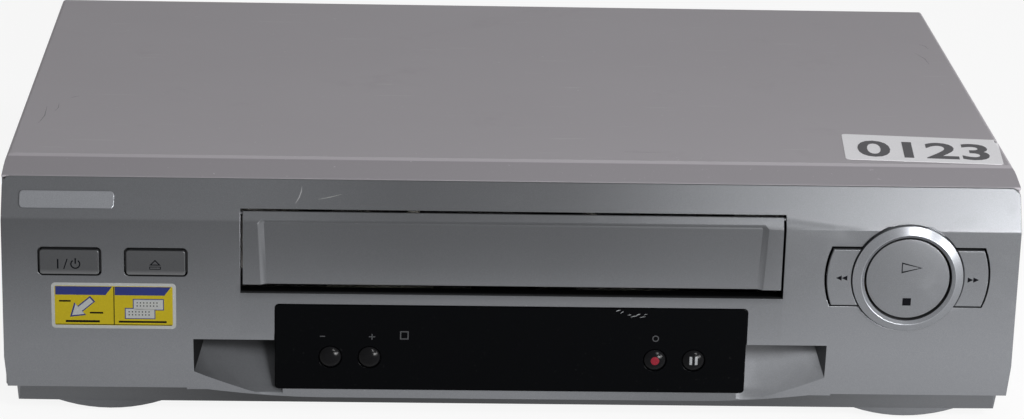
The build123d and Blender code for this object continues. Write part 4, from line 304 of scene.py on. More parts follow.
def painted_front_shade(f):
    """Painted shade on the front: a factor on the base colour, and where (the left pocket and the gaps)
    the lacquer is also made rougher and more metallic to dull it further.

    The painted shade darkens the face high up (less on the right), the band above the crease, the middle
    of the face, gaps and openings, the face under the flap, the finger pockets at the ends of the window
    (the left one, their ends and their tops under the ceiling most), the lip under it and the skirt.
    Lengths are in millimetres.
    """
    x, y, z = (f.axis(letter) * (1.0 / MM) for letter in "XYZ")
    across = abs(x)
    left = x.fall(-70.0, 70.0)
    middle = abs(x + 10.0).fall(20.0, 90.0)
    facing = f.add("ShaderNodeNewGeometry", output="Normal")
    aside = abs(f.add("ShaderNodeSeparateXYZ", inputs={0: facing}, output="X"))
    turned = f.add("ShaderNodeSeparateXYZ", inputs={0: facing}, output="Y").ramp(-0.98, -0.95)

    leaning = (CREASE_Z / MM - z).or_else(0.0) + (LOWER_CREASE_Z / MM - z).or_else(0.0)
    face = leaning * math.tan(FACE_LEAN) + (z - CREASE_Z / MM).or_else(0.0) * BAND_SLOPE
    behind = (y - CREASE_Y / MM - face) * across.fall(170.0, 174.0)
    set_back = behind.ramp(1.0, 1.6)

    # Painted shade: darker high on the face, less so towards the right, and on the band above the crease.
    band = z.ramp(73.5, 74.5)
    on_face = 1.0 - band
    high = z.ramp(20.0, 73.5) * on_face * (0.54 - x.ramp(85.0, 115.0) * 0.2) + band * 0.38

    # Painted shade in the finger pockets: strongest in the left one, more where its floor turns sideways.
    low = z.fall(31.5, 33.0)
    pocket = turned * low * z.ramp(9.5, 10.5) * across.fall(112.2, 112.8)
    pocket_shade = left * (aside.ramp(0.02, 0.3) * 0.3 + 0.58) + (1.0 - left) * 0.15
    # Painted shade on the lip under the window, stronger to the right, and on the skirt, stronger in the
    # middle and to the left.
    lip = across.fall(79.0, 100.0) * z.fall(11.8, 14.5) * (1.0 - set_back * (1.0 - pocket))
    skirt_shade = across.fall(80.0, 165.0) * 0.35 + (left * 0.16 + 0.24)

    flap_half = FLAP_HALF / MM
    opening_half = flap_half + FLAP_GAP / MM
    flap_low, flap_high = (corner.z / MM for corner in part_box("cassette_flap"))
    on_flap = z.ramp(flap_low + 0.1, flap_low + 0.2) * z.fall(flap_high - 0.2, flap_high - 0.1)
    on_flap = on_flap * across.fall(flap_half - 0.2, flap_half - 0.1)
    below_flap = z.fall(flap_low, flap_low + 0.1)
    sill = across.fall(opening_half + 0.05, opening_half + 0.15) * below_flap
    by_ring = z.ramp(70.8, 71.6) * across.ramp(105.0, 106.0)
    # Painted shadow in the gaps and openings round the keys, the ring and the flap, and on the sill under
    # the flap.
    gap = behind.ramp(0.3, 1.0) * (1.0 - sill) + behind.ramp(-0.5, 3.5) * sill
    gap = gap * (1.0 - on_flap) * (1.0 - low) * (1.0 - by_ring)
    # Painted shadow on the face just below the flap.
    under_flap = across.fall(flap_half - 2.0, flap_half + 3.0) * below_flap
    under_flap = under_flap * z.ramp(flap_low - 6.0, flap_low - 1.5)

    # Each place takes its share of painted shade off the colour: gaps, under the flap, the band and
    # middle of the face, the pockets, their end facets, their tops under the ceiling, the lip and the
    # skirt.
    shade_factor = 1.0 - high
    for place, shade_share in (
        (gap, 0.96),
        (under_flap, 0.35),
        (band * middle, 0.33),
        (middle * z.ramp(45.0, 60.0) * on_face, 0.14),
        (pocket, pocket_shade),
        (pocket * aside.ramp(0.55, 0.7), 0.5),
        (pocket * behind.ramp(4.6, 6.8), 0.65),
        (lip, x.ramp(0.0, 70.0) * 0.25 + 0.05),
        (set_back * z.fall(11.5, 13.0), skirt_shade),
    ):
        shade_factor = shade_factor * (1.0 - place * shade_share)
    return shade_factor, (pocket * left).or_else(gap)


def silver_lacquer(name, level, metallic=0.5, roughness=0.3, front_shaded=False, highlight_below=None):
    """Metal-flake lacquer, with painted shade on the front if asked, and paler below a given height as a
    painted highlight.
    """
    f = Finish(name)
    flakes = f.cells(5200.0)
    grain = f.noise(3100.0, 2.0, 0.5)
    cloud = f.noise(12.0, 3.0, 0.6)
    rub = f.noise(60.0, 4.0, 0.7, shift=(0.7, 2.1, 0.3)).ramp(0.58, 0.8)
    base = f.blend(flakes.ramp(0.1, 0.75), grey(level * 0.86, -0.05), grey(level * 1.16, -0.045))
    base = f.blend(cloud * 0.3, base, grey(level * 0.9, -0.045))
    dulled = 0.0
    # Painted shade on the front darkens the base colour; where it is shaded most the lacquer is also made
    # rougher and more metallic.
    if front_shaded:
        shade_factor, dulled = painted_front_shade(f)
        shade_factor = f.add("ShaderNodeCombineColor", inputs={0: shade_factor, 1: shade_factor, 2: shade_factor})
        base = f.blend(1.0, base, shade_factor, "MULTIPLY")
    # Painted highlight: the base colour turns paler below the given height, for a lower edge that catches
    # light.
    if highlight_below:
        foot = f.axis("Z").fall(highlight_below, highlight_below + 1.8 * MM)
        base = f.blend(foot, base, grey(level * 2.2, -0.025))
    return f.surface(
        Base_Color=base,
        Metallic=dulled * (0.95 - metallic) + metallic,
        Roughness=rub * 0.07 + (grain * 0.06 + (roughness - 0.03)) + dulled * 0.4,
        Normal=f.bump(grain * 0.4 + flakes * 0.3, 0.00002, 0.35),
    )


def smoked_window():
    """Near-black clear plastic under an uneven film, with a little fine dust."""
    f = Finish("smoked_window")
    dust = f.noise(900.0, 2.0, 0.6).ramp(0.68, 0.76)
    film = f.noise(22.0, 4.0, 0.65)
    base = f.blend(dust * 0.06, grey(0.0012, -0.14), grey(0.05))
    return f.surface(
        Base_Color=base,
        Roughness=film * 0.08 + 0.12,
        Specular_IOR_Level=0.02,
        Normal=f.bump(film, 0.00001, 0.15),
    )


def moulded(name, color, roughness=0.5, level=0.35, dusty=0.025):
    """Plain moulded plastic with a spark-eroded grain."""
    f = Finish(name)
    grain = f.noise(1900.0, 2.0, 0.6)
    cloud = f.noise(30.0, 3.0, 0.6)
    dust = f.noise(640.0, 2.0, 0.7).ramp(0.66, 0.8)
    base = f.blend(dust * dusty, f.blend(cloud, toned(color, 0.82), toned(color, 1.14)), grey(0.3))
    return f.surface(
        Base_Color=base,
        Roughness=grain * 0.12 + (roughness - 0.05),
        Specular_IOR_Level=level,
        Normal=f.bump(grain, 0.00003, 0.5),
    )


def plated_sheet():
    """Zinc-plated sheet with its crystal patches, rolling lines and a few stains."""
    f = Finish("zinc_plated_sheet")
    patch = f.add("ShaderNodeSeparateColor", inputs={0: f.cells(160.0, output="Color")})
    brushed = f.noise(900.0, 2.0, 0.6, (0.06, 0.06, 1.0))
    stain = f.noise(24.0, 4.0, 0.65).ramp(0.5, 0.85)
    base = f.blend(patch, grey(0.4, 0.03), grey(0.54, 0.02))
    base = f.blend(stain * 0.4, base, (0.36, 0.33, 0.27, 1))
    return f.surface(
        Base_Color=base,
        Metallic=0.9,
        Roughness=patch * 0.1 + (brushed * 0.12 + 0.3),
        Normal=f.bump(brushed, 0.00002, 0.4),
    )


def turned_metal(name, color, roughness=0.28):
    """Bright metal with fine tool rings across its axis."""
    f = Finish(name)
    rings = f.noise(1500.0, 2.0, 0.6, (0.2, 0.2, 1.0))
    cloud = f.noise(50.0, 2.0, 0.6)
    return f.surface(
        Base_Color=f.blend(cloud, toned(color, 0.84), toned(color)),
        Metallic=1.0,
        Roughness=rings * 0.14 + (roughness - 0.05),
        Normal=f.bump(rings, 0.00001, 0.4),
    )


def pressed_board():
    """Brown paper board with its fibres and darker copper runs under the varnish."""
    f = Finish("pressed_board")
    fibre = f.noise(700.0, 4.0, 0.7, (1.0, 0.4, 1.0))
    runs = f.cells(210.0, (1.0, 1.0, 0.0)).ramp(0.28, 0.34)
    base = f.blend(fibre, (0.13, 0.068, 0.024, 1), (0.24, 0.14, 0.06, 1))
    base = f.blend(runs * 0.35, base, (0.08, 0.06, 0.02, 1))
    return f.surface(Base_Color=base, Roughness=fibre * 0.15 + 0.45, Normal=f.bump(fibre, 0.00003, 0.4))


def soft_rubber(name, level, roughness=0.75):
    """Matt black rubber with a patchy grey bloom."""
    f = Finish(name)
    grain = f.noise(1400.0, 3.0, 0.65)
    bloom = f.noise(45.0, 3.0, 0.6)
    return f.surface(
        Base_Color=f.blend(bloom, grey(level * 0.8), grey(level * 1.5)),
        Roughness=grain * 0.15 + (roughness - 0.08),
        Specular_IOR_Level=0.25,
        Normal=f.bump(grain, 0.00004, 0.5),
    )


def display_glass():
    """Dark glass of the fluorescent display tube, a little hazy."""
    f = Finish("display_glass")
    haze = f.noise(60.0, 2.0, 0.5)
    return f.surface(Base_Color=f.blend(haze, grey(0.01), grey(0.02)), Roughness=haze * 0.05 + 0.06)


def printed_ink(name, color, roughness=0.5, gloss=0.05):
    """Ink or label film, a little worn."""
    f = Finish(name)
    wear = f.noise(1300.0, 3.0, 0.65)
    soil = f.noise(90.0, 3.0, 0.6)
    base = f.blend(wear, toned(color, 0.86), toned(color, 1.06))
    base = f.blend(soil.ramp(0.55, 0.85) * 0.2, base, toned(color, 0.7))
    return f.surface(
        Base_Color=base,
        Roughness=wear * 0.12 + (roughness - 0.06),
        Specular_IOR_Level=gloss,
    )


finishes = {
    "cover_paint": cover_paint(),
    # The front panel's lacquer carries painted shade.
    "panel_silver": silver_lacquer("panel_silver", 0.139, metallic=0.6, front_shaded=True),
    # The keys' lacquer turns paler low on their faces: a painted highlight on the lower edge.
    "key_grey": silver_lacquer("key_grey", 0.033, metallic=0.35, roughness=0.36, highlight_below=54.2 * MM),
    "ring_silver": silver_lacquer("ring_silver", 0.22, metallic=0.88, roughness=0.31),
    "key_black": moulded("key_black", (0.002, 0.002, 0.0024), 0.18, 0.08, 0.004),
    "window_black": smoked_window(),
    "case_plastic": moulded("case_plastic", (0.022, 0.022, 0.023)),
    "foot_rubber": soft_rubber("foot_rubber", 0.014),
    "plated_sheet": plated_sheet(),
    "bright_steel": turned_metal("bright_steel", (0.56, 0.56, 0.55)),
    "black_screw": moulded("black_screw", (0.03, 0.03, 0.03), 0.35, 0.5),
    "board_brown": pressed_board(),
    "component_black": moulded("component_black", (0.012, 0.012, 0.013), 0.4),
    "sleeve_blue": moulded("sleeve_blue", (0.012, 0.018, 0.06), 0.25, 0.5),
    "sink_aluminium": turned_metal("sink_aluminium", (0.6, 0.6, 0.6), 0.4),
    "drum_aluminium": turned_metal("drum_aluminium", (0.74, 0.74, 0.75), 0.18),
    "transformer_core": moulded("transformer_core", (0.08, 0.05, 0.03), 0.4),
    "tube_glass": display_glass(),
    "mechanism_white": moulded("mechanism_white", (0.6, 0.585, 0.53), 0.45),
    "mechanism_black": moulded("mechanism_black", (0.018, 0.018, 0.019), 0.45),
    "belt_rubber": soft_rubber("belt_rubber", 0.018, 0.6),
    "bearing_brass": turned_metal("bearing_brass", (0.6, 0.42, 0.16), 0.3),
}
inks = {
    "light": printed_ink("light_ink", (0.16, 0.165, 0.17)),
    "dim": printed_ink("dim_ink", (0.035, 0.036, 0.038)),
    "dark": printed_ink("dark_ink", (0.0025, 0.0025, 0.0035), gloss=0.02),
    "red": printed_ink("red_ink", (0.11, 0.008, 0.014)),
    "white": printed_ink("label_white", (0.77, 0.765, 0.79), 0.45),
    "digit": printed_ink("digit_grey", (0.098, 0.096, 0.104)),
    "border": printed_ink("sticker_border", (0.2, 0.205, 0.2), 0.4),
    "yellow": printed_ink("sticker_yellow", (0.225, 0.178, 0.008), 0.35),
    "blue": printed_ink("sticker_blue", (0.014, 0.019, 0.08), 0.35),
    "worn": printed_ink("bare_scratch", (0.16, 0.16, 0.165), 0.4),
}

ROUND_KEYS = ("down_key", "up_key", "record_key", "pause_key")
slot_of = {entry["node"]: entry["material_slot"] for entry in frame["record"]["subparts"]}
bodies = frame["record"]["behaviour"]["bodies"]
body_of = {node: body for body, nodes in bodies.items() for node in nodes}
for node, piece in frame["nodes"].items():
    for place in piece.material_slots:
        place.material = finishes["key_black" if node in ROUND_KEYS else slot_of[node]]


# ------ making pieces


def add_piece(name, mesh, finish, body):
    """A finished piece at the origin, riding on its body."""
    mesh.materials.clear()
    mesh.materials.append(finish)
    piece = bpy.data.objects.new(name, mesh)
    bpy.context.scene.collection.objects.link(piece)
    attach(piece, body)
    return piece


def as_mesh(name, shape):
    """Mesh of a shape, which is freed."""
    mesh = bpy.data.meshes.new(name)
    shape.to_mesh(mesh)
    shape.free()
    return mesh


def draft_of(name, data):
    """Passing object that modifiers work on."""
    draft = bpy.data.objects.new(name + "_draft", data)
    bpy.context.scene.collection.objects.link(draft)
    return draft


def baked(draft):
    """Plain mesh of a draft with its modifiers applied; the draft itself is removed."""
    bpy.context.view_layer.update()
    graph = bpy.context.evaluated_depsgraph_get()
    mesh = bpy.data.meshes.new_from_object(draft.evaluated_get(graph))
    bpy.data.objects.remove(draft)
    return mesh


def baked_smooth(name, shape, cutters=None):
    """Plain mesh of a shape, less any cutters, shaded by its large faces."""
    for face in shape.faces:
        face.smooth = True
    draft = draft_of(name, as_mesh(name + "_shape", shape))
    if cutters:
        cut = draft.modifiers.new("cut", "BOOLEAN")
        cut.operation = "DIFFERENCE"
        cut.solver = "EXACT"
        cut.object = cutters
    weigh = draft.modifiers.new("weigh", "WEIGHTED_NORMAL")
    weigh.keep_sharp = True
    weigh.weight = LARGE_FACE_WEIGHT
    return baked(draft)


def closed_copy(node):
    """Copy of a node's mesh with its seams closed."""
    shape = bmesh.new()
    shape.from_mesh(frame["nodes"][node].data)
    bmesh.ops.remove_doubles(shape, verts=shape.verts, dist=SEAM)
    return shape


def in_zone(point, zone):
    """Whether a point is in a zone of (low, high) millimetres across, deep and high."""
    spot = (abs(point.x) / MM, (point.y - CREASE_Y) / MM, point.z / MM)
    return all(low <= value <= high for value, (low, high) in zip(spot, zone))


def outer_edges(shape, facing, left_sharp):
    """Sharp convex edges that face one of the given ways with nothing close in front."""
    tree = BVHTree.FromBMesh(shape)
    found = []
    for edge in shape.edges:
        if len(edge.link_faces) != 2 or edge.calc_face_angle_signed(0.0) < EASED_EDGE:
            continue
        outwards = sum((face.normal for face in edge.link_faces), Vector()).normalized()
        middle = (edge.verts[0].co + edge.verts[1].co) / 2
        if max(outwards.dot(way) for way in facing) < OUTWARD_SHARE:
            continue
        if any(in_zone(middle, zone) for zone in left_sharp):
            continue
        start = middle + outwards * 0.1 * MM
        if tree.ray_cast(start, outwards, FREE_ROOM)[0] is None:
            found.append(edge)
    return found


def eased(node, radius, facing, left_sharp=(), cutters=None):
    """The node's own shape with rounded outer edges, standing in its place."""
    shape = closed_copy(node)
    bmesh.ops.dissolve_limit(
        shape, angle_limit=FLAT, verts=shape.verts, edges=shape.edges, delimit=set()
    )
    chosen = outer_edges(shape, facing, left_sharp)
    for edge in shape.edges:
        edge.smooth = edge.calc_face_angle(0.0) < SOFT_EDGE
    for edge in chosen:
        edge.smooth = True
    bmesh.ops.bevel(
        shape,
        geom=chosen,
        offset=radius * MM,
        offset_type="OFFSET",
        segments=2,
        profile=0.5,
        affect="EDGES",
        clamp_overlap=False,
    )
    mesh = baked_smooth(node, shape, cutters)
    piece = add_piece(node + "_shell", mesh, finishes[slot_of[node]], body_of[node])
    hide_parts(node)
    return piece


def grown(name, tree, seats, sizes):
    """Plain mesh of a growth tree set on seats, each a point in metres and the way it faces."""
    mesh = bpy.data.meshes.new(name)
    mesh.from_pydata([point for point, _ in seats], [], [])
    facing = mesh.attributes.new("facing", "FLOAT_VECTOR", "POINT")
    for index, (_, way) in enumerate(seats):
        facing.data[index].vector = way
    draft = draft_of(name, mesh)
    grow = draft.modifiers.new("grow", "NODES")
    grow.node_group = tree
    for socket in tree.interface.items_tree:
        if socket.name in sizes:
            grow[socket.identifier] = sizes[socket.name]
    return baked(draft)


FRONT = Vector((0, -1, 0))
BACK = Vector((0, 1, 0))
UP = Vector((0, 0, 1))
SIDES = (Vector((-1, 0, 0)), Vector((1, 0, 0)))
# (across, deep, high) zones in millimetres where the moulded edges stay sharp
LIP = ((0.0, 178.0), (1.2, 3.2), (7.5, 12.5))
POCKETS = ((76.0, 118.0), (-1.0, 12.0), (8.5, 32.0))
RING_AT_CREASE = ((108.0, 162.0), (-1.0, 3.0), (68.0, 76.0))
# Radius in millimetres, the ways that eased edges face, and the zones left sharp
easing = {
    "top_cover": (0.3, (FRONT, BACK, UP, *SIDES)),
    "front_panel": (0.22, (FRONT,), (LIP, POCKETS, RING_AT_CREASE)),
    "cassette_flap": (0.2, (FRONT,)),
    "display_window": (0.3, (FRONT,)),
    "play_stop_disc": (0.12, (FRONT,)),
    "rear_panel": (0.15, (BACK,)),
    "mains_inlet": (0.3, (BACK,)),
    "rear_feet": (0.3, (FRONT, BACK, *SIDES)),
}
shells = {node: eased(node, *how) for node, how in easing.items()}


def rounded_profile(corners, radius, count=4):
    """Closed profile with an arc of the radius at each corner."""
    points = []
    for index, corner in enumerate(map(Vector, corners)):
        before = (Vector(corners[index - 1]) - corner).normalized()
        after = (Vector(corners[(index + 1) % len(corners)]) - corner).normalized()
        half = before.angle(after) / 2
        reach = radius / math.tan(half)
        centre = corner + (before + after).normalized() * radius / math.sin(half)
        first, last = corner + before * reach - centre, corner + after * reach - centre
        for step in range(count):
            share = step / (count - 1)
            points.append(centre + (first * (1 - share) + last * share).normalized() * radius)
    return points


def add_ring():
    """The transport ring turned on its axis: a narrow inner bevel and a wide outer slope."""
    node = "transport_ring"
    low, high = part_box("transport_ring")
    axis = Vector((0.0, math.cos(FACE_LEAN), math.sin(FACE_LEAN)))
    face_y = CREASE_Y + (CREASE_Z - RING_Z) * math.tan(FACE_LEAN)
    centre = Vector(((low.x + high.x) / 2, face_y, RING_Z))
    outer = (high.x - low.x) / 2
    inner, seat = outer - 4.1 * MM, outer - 0.9 * MM
    # Corners as (radius, depth behind the face), from the bore forwards and round
    corners = [(inner, -2.0 * MM), (inner + 1.2 * MM, -3.2 * MM), (outer, -1.5 * MM)]
    corners += [(outer, 0.8 * MM), (seat, 0.8 * MM), (seat, 6.0 * MM), (inner, 6.0 * MM)]
    profile = rounded_profile(corners, 0.25 * MM)
    sides = 144
    shape = bmesh.new()
    rows = []
    for side in range(sides):
        turn = math.tau * side / sides
        outwards = Vector((math.cos(turn), 0, 0)) + math.sin(turn) * Vector((0, -axis.z, axis.y))
        spots = [centre + outwards * radius + axis * depth for radius, depth in profile]
        rows.append([shape.verts.new(spot) for spot in spots])
    for row, following in zip(rows, rows[1:] + rows[:1]):
        for place in range(len(profile)):
            shape.faces.new([row[place - 1], row[place], following[place], following[place - 1]])
    bmesh.ops.recalc_face_normals(shape, faces=shape.faces)
    for edge in shape.edges:
        edge.smooth = edge.calc_face_angle(0.0) < SOFT_RING_EDGE
    mesh = baked_smooth(node, shape)
    ring = add_piece("turned_ring", mesh, finishes[slot_of[node]], body_of[node])
    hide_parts(node)


add_ring()


# ------ screws and rear contacts


def islands(node):
    """Corners (low, high) of each separate solid of a node's mesh."""
    shape = closed_copy(node)
    left = set(shape.verts)
    boxes = []
    while left:
        reached = [left.pop()]
        spots = []
        while reached:
            vert = reached.pop()
            spots.append(vert.co.copy())
            for edge in vert.link_edges:
                other = edge.other_vert(vert)
                if other in left:
                    left.remove(other)
                    reached.append(other)
        low = Vector(min(spot[i] for spot in spots) for i in range(3))
        high = Vector(max(spot[i] for spot in spots) for i in range(3))
        boxes.append((low, high))
    shape.free()
    return sorted(boxes, key=lambda corners: tuple(corners[0]))


def screw_tree(finish):
    """A pan head with a cross recess on its shank, on each seat."""
    g = Growth("cross_screw", "Head Radius", "Head Height", "Shank Radius", "Shank Length")
    radius, height, shank, length = g.sizes
    sides, rim_share = 28, 0.45
    rim = g.disc(
        "GeometryNodeMeshCylinder",
        sides,
        height * rim_share,
        g.vector(z=height * (rim_share / 2)),
        Radius=radius,
    )
    dome = g.disc(
        "GeometryNodeMeshCone",
        sides,
        height * (1.0 - rim_share),
        g.vector(z=height * rim_share),
        Radius_Bottom=radius,
        Radius_Top=radius * 0.72,
    )
    join = {"operation": "UNION", "solver": "EXACT"}
    head = g.add("GeometryNodeMeshBoolean", join, {"Mesh 2": [rim, dome]})
    reach, width = radius * 1.15, radius * 0.24
    recess = g.vector(z=height * 0.9)
    recessed = g.cut(head, g.block(reach, width, height, recess), g.block(width, reach, height, recess))
    pin = g.disc("GeometryNodeMeshCylinder", 20, length, g.vector(z=length * -0.5), Radius=shank)
    return g.close([recessed, pin], finish)


def add_screws():
    """A cross-recess screw in place of each plain one, facing back or up."""
    seats = []
    for low, high in islands("screws"):
        spot = (low + high) / 2
        axis = 1 if high.y > BACK_Y else 2
        spot[axis] = high[axis] - SCREW_HEAD_HEIGHT
        seats.append((spot, BACK if axis == 1 else UP))
    sizes = {
        "Head Radius": 2.9 * MM,
        "Head Height": SCREW_HEAD_HEIGHT,
        "Shank Radius": 1.4 * MM,
        "Shank Length": 4.2 * MM,
    }
    mesh = grown("screws", screw_tree(finishes["black_screw"]), seats, sizes)
    piece = add_piece("cross_screws", mesh, finishes["black_screw"], body_of["screws"])
    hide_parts("screws")


def contact_seats():
    """Twenty places on the rear face of each socket, in two rows half a pitch apart."""
    pitch, row_rise, row_length = 3.81 * MM, 1.75 * MM, 10
    narrowest_socket = 30.0 * MM
    seats = []
    for low, high in islands("scart_sockets"):
        if high.y < BACK_Y or high.x - low.x < narrowest_socket:
            continue
        middle = (low + high) / 2
        for row, shift in ((1, 0.25), (-1, -0.25)):
            for place in range(row_length):
                x = middle.x + (place - (row_length - 1) / 2 + shift) * pitch
                spot = Vector((x, high.y - SOCKET_RECESS, SOCKET_Z + row * row_rise))
                seats.append((spot, BACK))
    return seats


def add_contacts():
    """Cuts the contact slots into the rear sockets and puts a sprung blade in each."""
    seats = contact_seats()
    slots = Growth("contact_slot", "Width", "Height", "Depth")
    width, height, depth = slots.sizes
    hole = slots.block(width, height, depth, slots.vector())
    slot_tree = slots.close([hole], finishes["mechanism_black"])
    sizes = {"Width": 1.25 * MM, "Height": 2.3 * MM, "Depth": 5.0 * MM}
    cutters = draft_of("contact_slots", grown("contact_slots", slot_tree, seats, sizes))
    shells["scart_sockets"] = eased("scart_sockets", 0.3, (BACK,), cutters=cutters)
    bpy.data.objects.remove(cutters)
    brass = finishes["bearing_brass"]
    blades = Growth("contact_blade", "Thickness", "Height", "Depth", "Aside")
    thickness, height, depth, aside = blades.sizes
    leaf_place = blades.vector(x=aside, z=depth * -0.75)
    lip_place = blades.vector(x=aside * 0.7, z=depth * -0.24)
    leaf = blades.block(thickness, height, depth, leaf_place)
    lip = blades.block(thickness * 2.0, height, thickness, lip_place)
    blade_tree = blades.close([leaf, lip], brass)
    sizes = {"Thickness": 0.28 * MM, "Height": 1.7 * MM, "Depth": 2.4 * MM, "Aside": 0.42 * MM}
    mesh = grown("contact_blades", blade_tree, seats, sizes)
    add_piece("contact_blades", mesh, brass, body_of["scart_sockets"])


add_screws()
add_contacts()


# ------ marks and stickers


def surface_of(node):
    """Search tree of the shape that stands for a node, for laying marks on it."""
    shape = bmesh.new()
    shape.from_mesh(shells.get(node, frame["nodes"][node]).data)
    tree = BVHTree.FromBMesh(shape)
    shape.free()
    return tree


def on_front(u, v):
    """Start and direction for laying a point on the front; u runs right, v runs up."""
    return Vector((u * MM, CREASE_Y - STAND_OFF, v * MM)), BACK


def on_cover(u, v):
    """Start and direction for laying a point on the cover; v is the depth from the crease."""
    return Vector((u * MM, CREASE_Y + v * MM, TOP_Z + STAND_OFF)), -UP


def diced(outlines, cell):
    """Flat triangles of the outlines with no edge much longer than a cell."""
    shape = bmesh.new()
    for outline in outlines:
        shape.faces.new([shape.verts.new((u, v, 0.0)) for u, v in outline])
    bmesh.ops.triangulate(shape, faces=shape.faces)
    for _ in range(5):
        long_edges = [edge for edge in shape.edges if edge.calc_length() > cell]
        if not long_edges:
            break
        bmesh.ops.subdivide_edges(shape, edges=long_edges, cuts=1)
        bmesh.ops.triangulate(shape, faces=shape.faces)
    return shape


def laid(name, outlines, ink, node, place=on_front, lift=0.025, cell=1.6, eased_by=0.0):
    """Thin closed film of the outlines that follows the surface of a node."""
    shape = diced(outlines, cell)
    tree = surface_of(node)
    top, bottom = {}, {}
    film = bmesh.new()
    for vert in shape.verts:
        start, way = place(vert.co.x, vert.co.y)
        point, normal = tree.ray_cast(start, way)[:2]
        if normal.dot(way) > 0:
            normal = -normal
        top[vert] = film.verts.new(point + normal * lift * MM)
        bottom[vert] = film.verts.new(point - normal * FILM_ROOT)
    for face in shape.faces:
        film.faces.new([top[vert] for vert in face.verts])
        film.faces.new([bottom[vert] for vert in reversed(face.verts)])
    for edge in shape.edges:
        if edge.is_boundary:
            first, second = edge.verts
            film.faces.new([top[first], top[second], bottom[second], bottom[first]])
    shape.free()
    bmesh.ops.recalc_face_normals(film, faces=film.faces)
    if eased_by:
        raised = set(top.values())
        upper = [edge for edge in film.edges if set(edge.verts) <= raised]
        rim = [edge for edge in upper if edge.calc_face_angle(0.0) > EASED_EDGE]
        bmesh.ops.bevel(film, geom=rim, offset=eased_by * MM, segments=2, profile=0.5, affect="EDGES")
    return add_piece(name, as_mesh(name, film), inks[ink], body_of[node])


def box(left, low, right, high):
    return [(left, low), (right, low), (right, high), (left, high)]


def box_outline(left, low, right, high, line):
    """Outline of a box, as four bars."""
    return [
        box(left, high - line, right, high),
        box(left, low, right, low + line),
        box(left, low + line, left + line, high - line),
        box(right - line, low + line, right, high - line),
    ]


def arc_points(x, z, radius, start, end, count):
    """Points along an arc, from one angle in degrees to another."""
    turns = [math.radians(start + (end - start) * step / (count - 1)) for step in range(count)]
    return [(x + radius * math.cos(turn), z + radius * math.sin(turn)) for turn in turns]


def disc(x, z, radius):
    sides = 28
    return arc_points(x, z, radius, 0.0, 360.0 - 360.0 / sides, sides)


def arc_band(x, z, radius, width, start, end, count=12):
    """Part of a ring, as a row of small four-sided outlines."""
    outer = arc_points(x, z, radius + width / 2, start, end, count)
    inner = arc_points(x, z, radius - width / 2, start, end, count)
    return [[outer[i], outer[i + 1], inner[i + 1], inner[i]] for i in range(count - 1)]


def rounded(left, low, right, high, radius, count=6):
    """Box with rounded corners."""
    corners = [(right, high, 0.0), (left, high, 90.0), (left, low, 180.0), (right, low, 270.0)]
    points = []
    for x, z, start in corners:
        centre_x = x - radius if x == right else x + radius
        centre_z = z - radius if z == high else z + radius
        points += arc_points(centre_x, centre_z, radius, start, start + 90.0, count)
    return points


def stroke(points, width):
    """A thin tapering scratch along points, as a row of four-sided outlines."""
    last, end_share = len(points) - 1, 0.3
    sides = []
    for index, (u, v) in enumerate(points):
        before, after = points[max(index - 1, 0)], points[min(index + 1, last)]
        along = Vector((after[0] - before[0], after[1] - before[1])).normalized()
        half = width / 2 * (1.0 if 0 < index < last else end_share)
        shift_u, shift_v = along.y * half, along.x * half
        sides.append(((u - shift_u, v + shift_v), (u + shift_u, v - shift_v)))
    return [[a[0], b[0], b[1], a[1]] for a, b in zip(sides, sides[1:])]


def triangle(tip_x, base_x, z, half):
    """Triangle lying on its side."""
    return [(tip_x, z), (base_x, z + half), (base_x, z - half)]


def between(outer, inner):
    """The border between two outlines with as many corners, as a row of four-sided ones."""
    return [[outer[i - 1], outer[i], inner[i], inner[i - 1]] for i in range(len(outer))]


def hollow_triangle(tip_x, base_x, z, half, line):
    """Border of a triangle lying on its side, a line wide."""
    tip_mitre, base_mitre = 2.2, 1.7
    inwards = math.copysign(line, tip_x - base_x)
    inner = triangle(tip_x - inwards * tip_mitre, base_x + inwards, z, half - line * base_mitre)
    return between(triangle(tip_x, base_x, z, half), inner)


def mark_keys():
    """The usual sign on each key."""
    power = arc_band(-151.7, 57.8, 1.55, 0.45, 125.0, 415.0)
    power += [box(-151.95, 57.9, -151.45, 60.0), box(-158.0, 56.1, -157.5, 59.6)]
    power += [[(-155.9, 56.0), (-155.5, 56.0), (-154.3, 59.7), (-154.7, 59.7)]]
    laid("power_sign", power, "dark", "power_key")
    rising = [(-124.2, 59.7), (-126.2, 57.6), (-122.2, 57.6)]
    inner = [(-124.2, 59.15), (-125.35, 57.95), (-123.05, 57.95)]
    eject = between(rising, inner) + box_outline(-126.2, 56.1, -122.2, 57.15, 0.25)
    laid("eject_sign", eject, "dark", "eject_key", cell=0.8)
    play = hollow_triangle(142.9, 135.6, 60.3, 2.0, 0.35)
    laid("play_sign", play, "dark", "play_stop_disc", cell=0.8)
    laid("stop_sign", [box(136.6, 46.2, 139.6, 49.0)], "dark", "play_stop_disc", cell=0.8)
    rewind = [triangle(tip, tip + 2.0, 55.9, 0.95) for tip in (112.9, 114.9)]
    laid("rewind_sign", rewind, "dark", "rewind_key")
    forward = [triangle(tip, tip - 2.0, 55.7, 0.95) for tip in (161.2, 163.2)]
    laid("forward_sign", forward, "dark", "forward_key")
    pause = [box(left, 22.8, left + 0.9, 25.8) for left in (62.9, 64.8)]
    laid("pause_sign", pause, "light", "pause_key", cell=0.5)
    laid("record_dot", [disc(50.7, 24.1, 1.5)], "red", "record_key", cell=0.5)


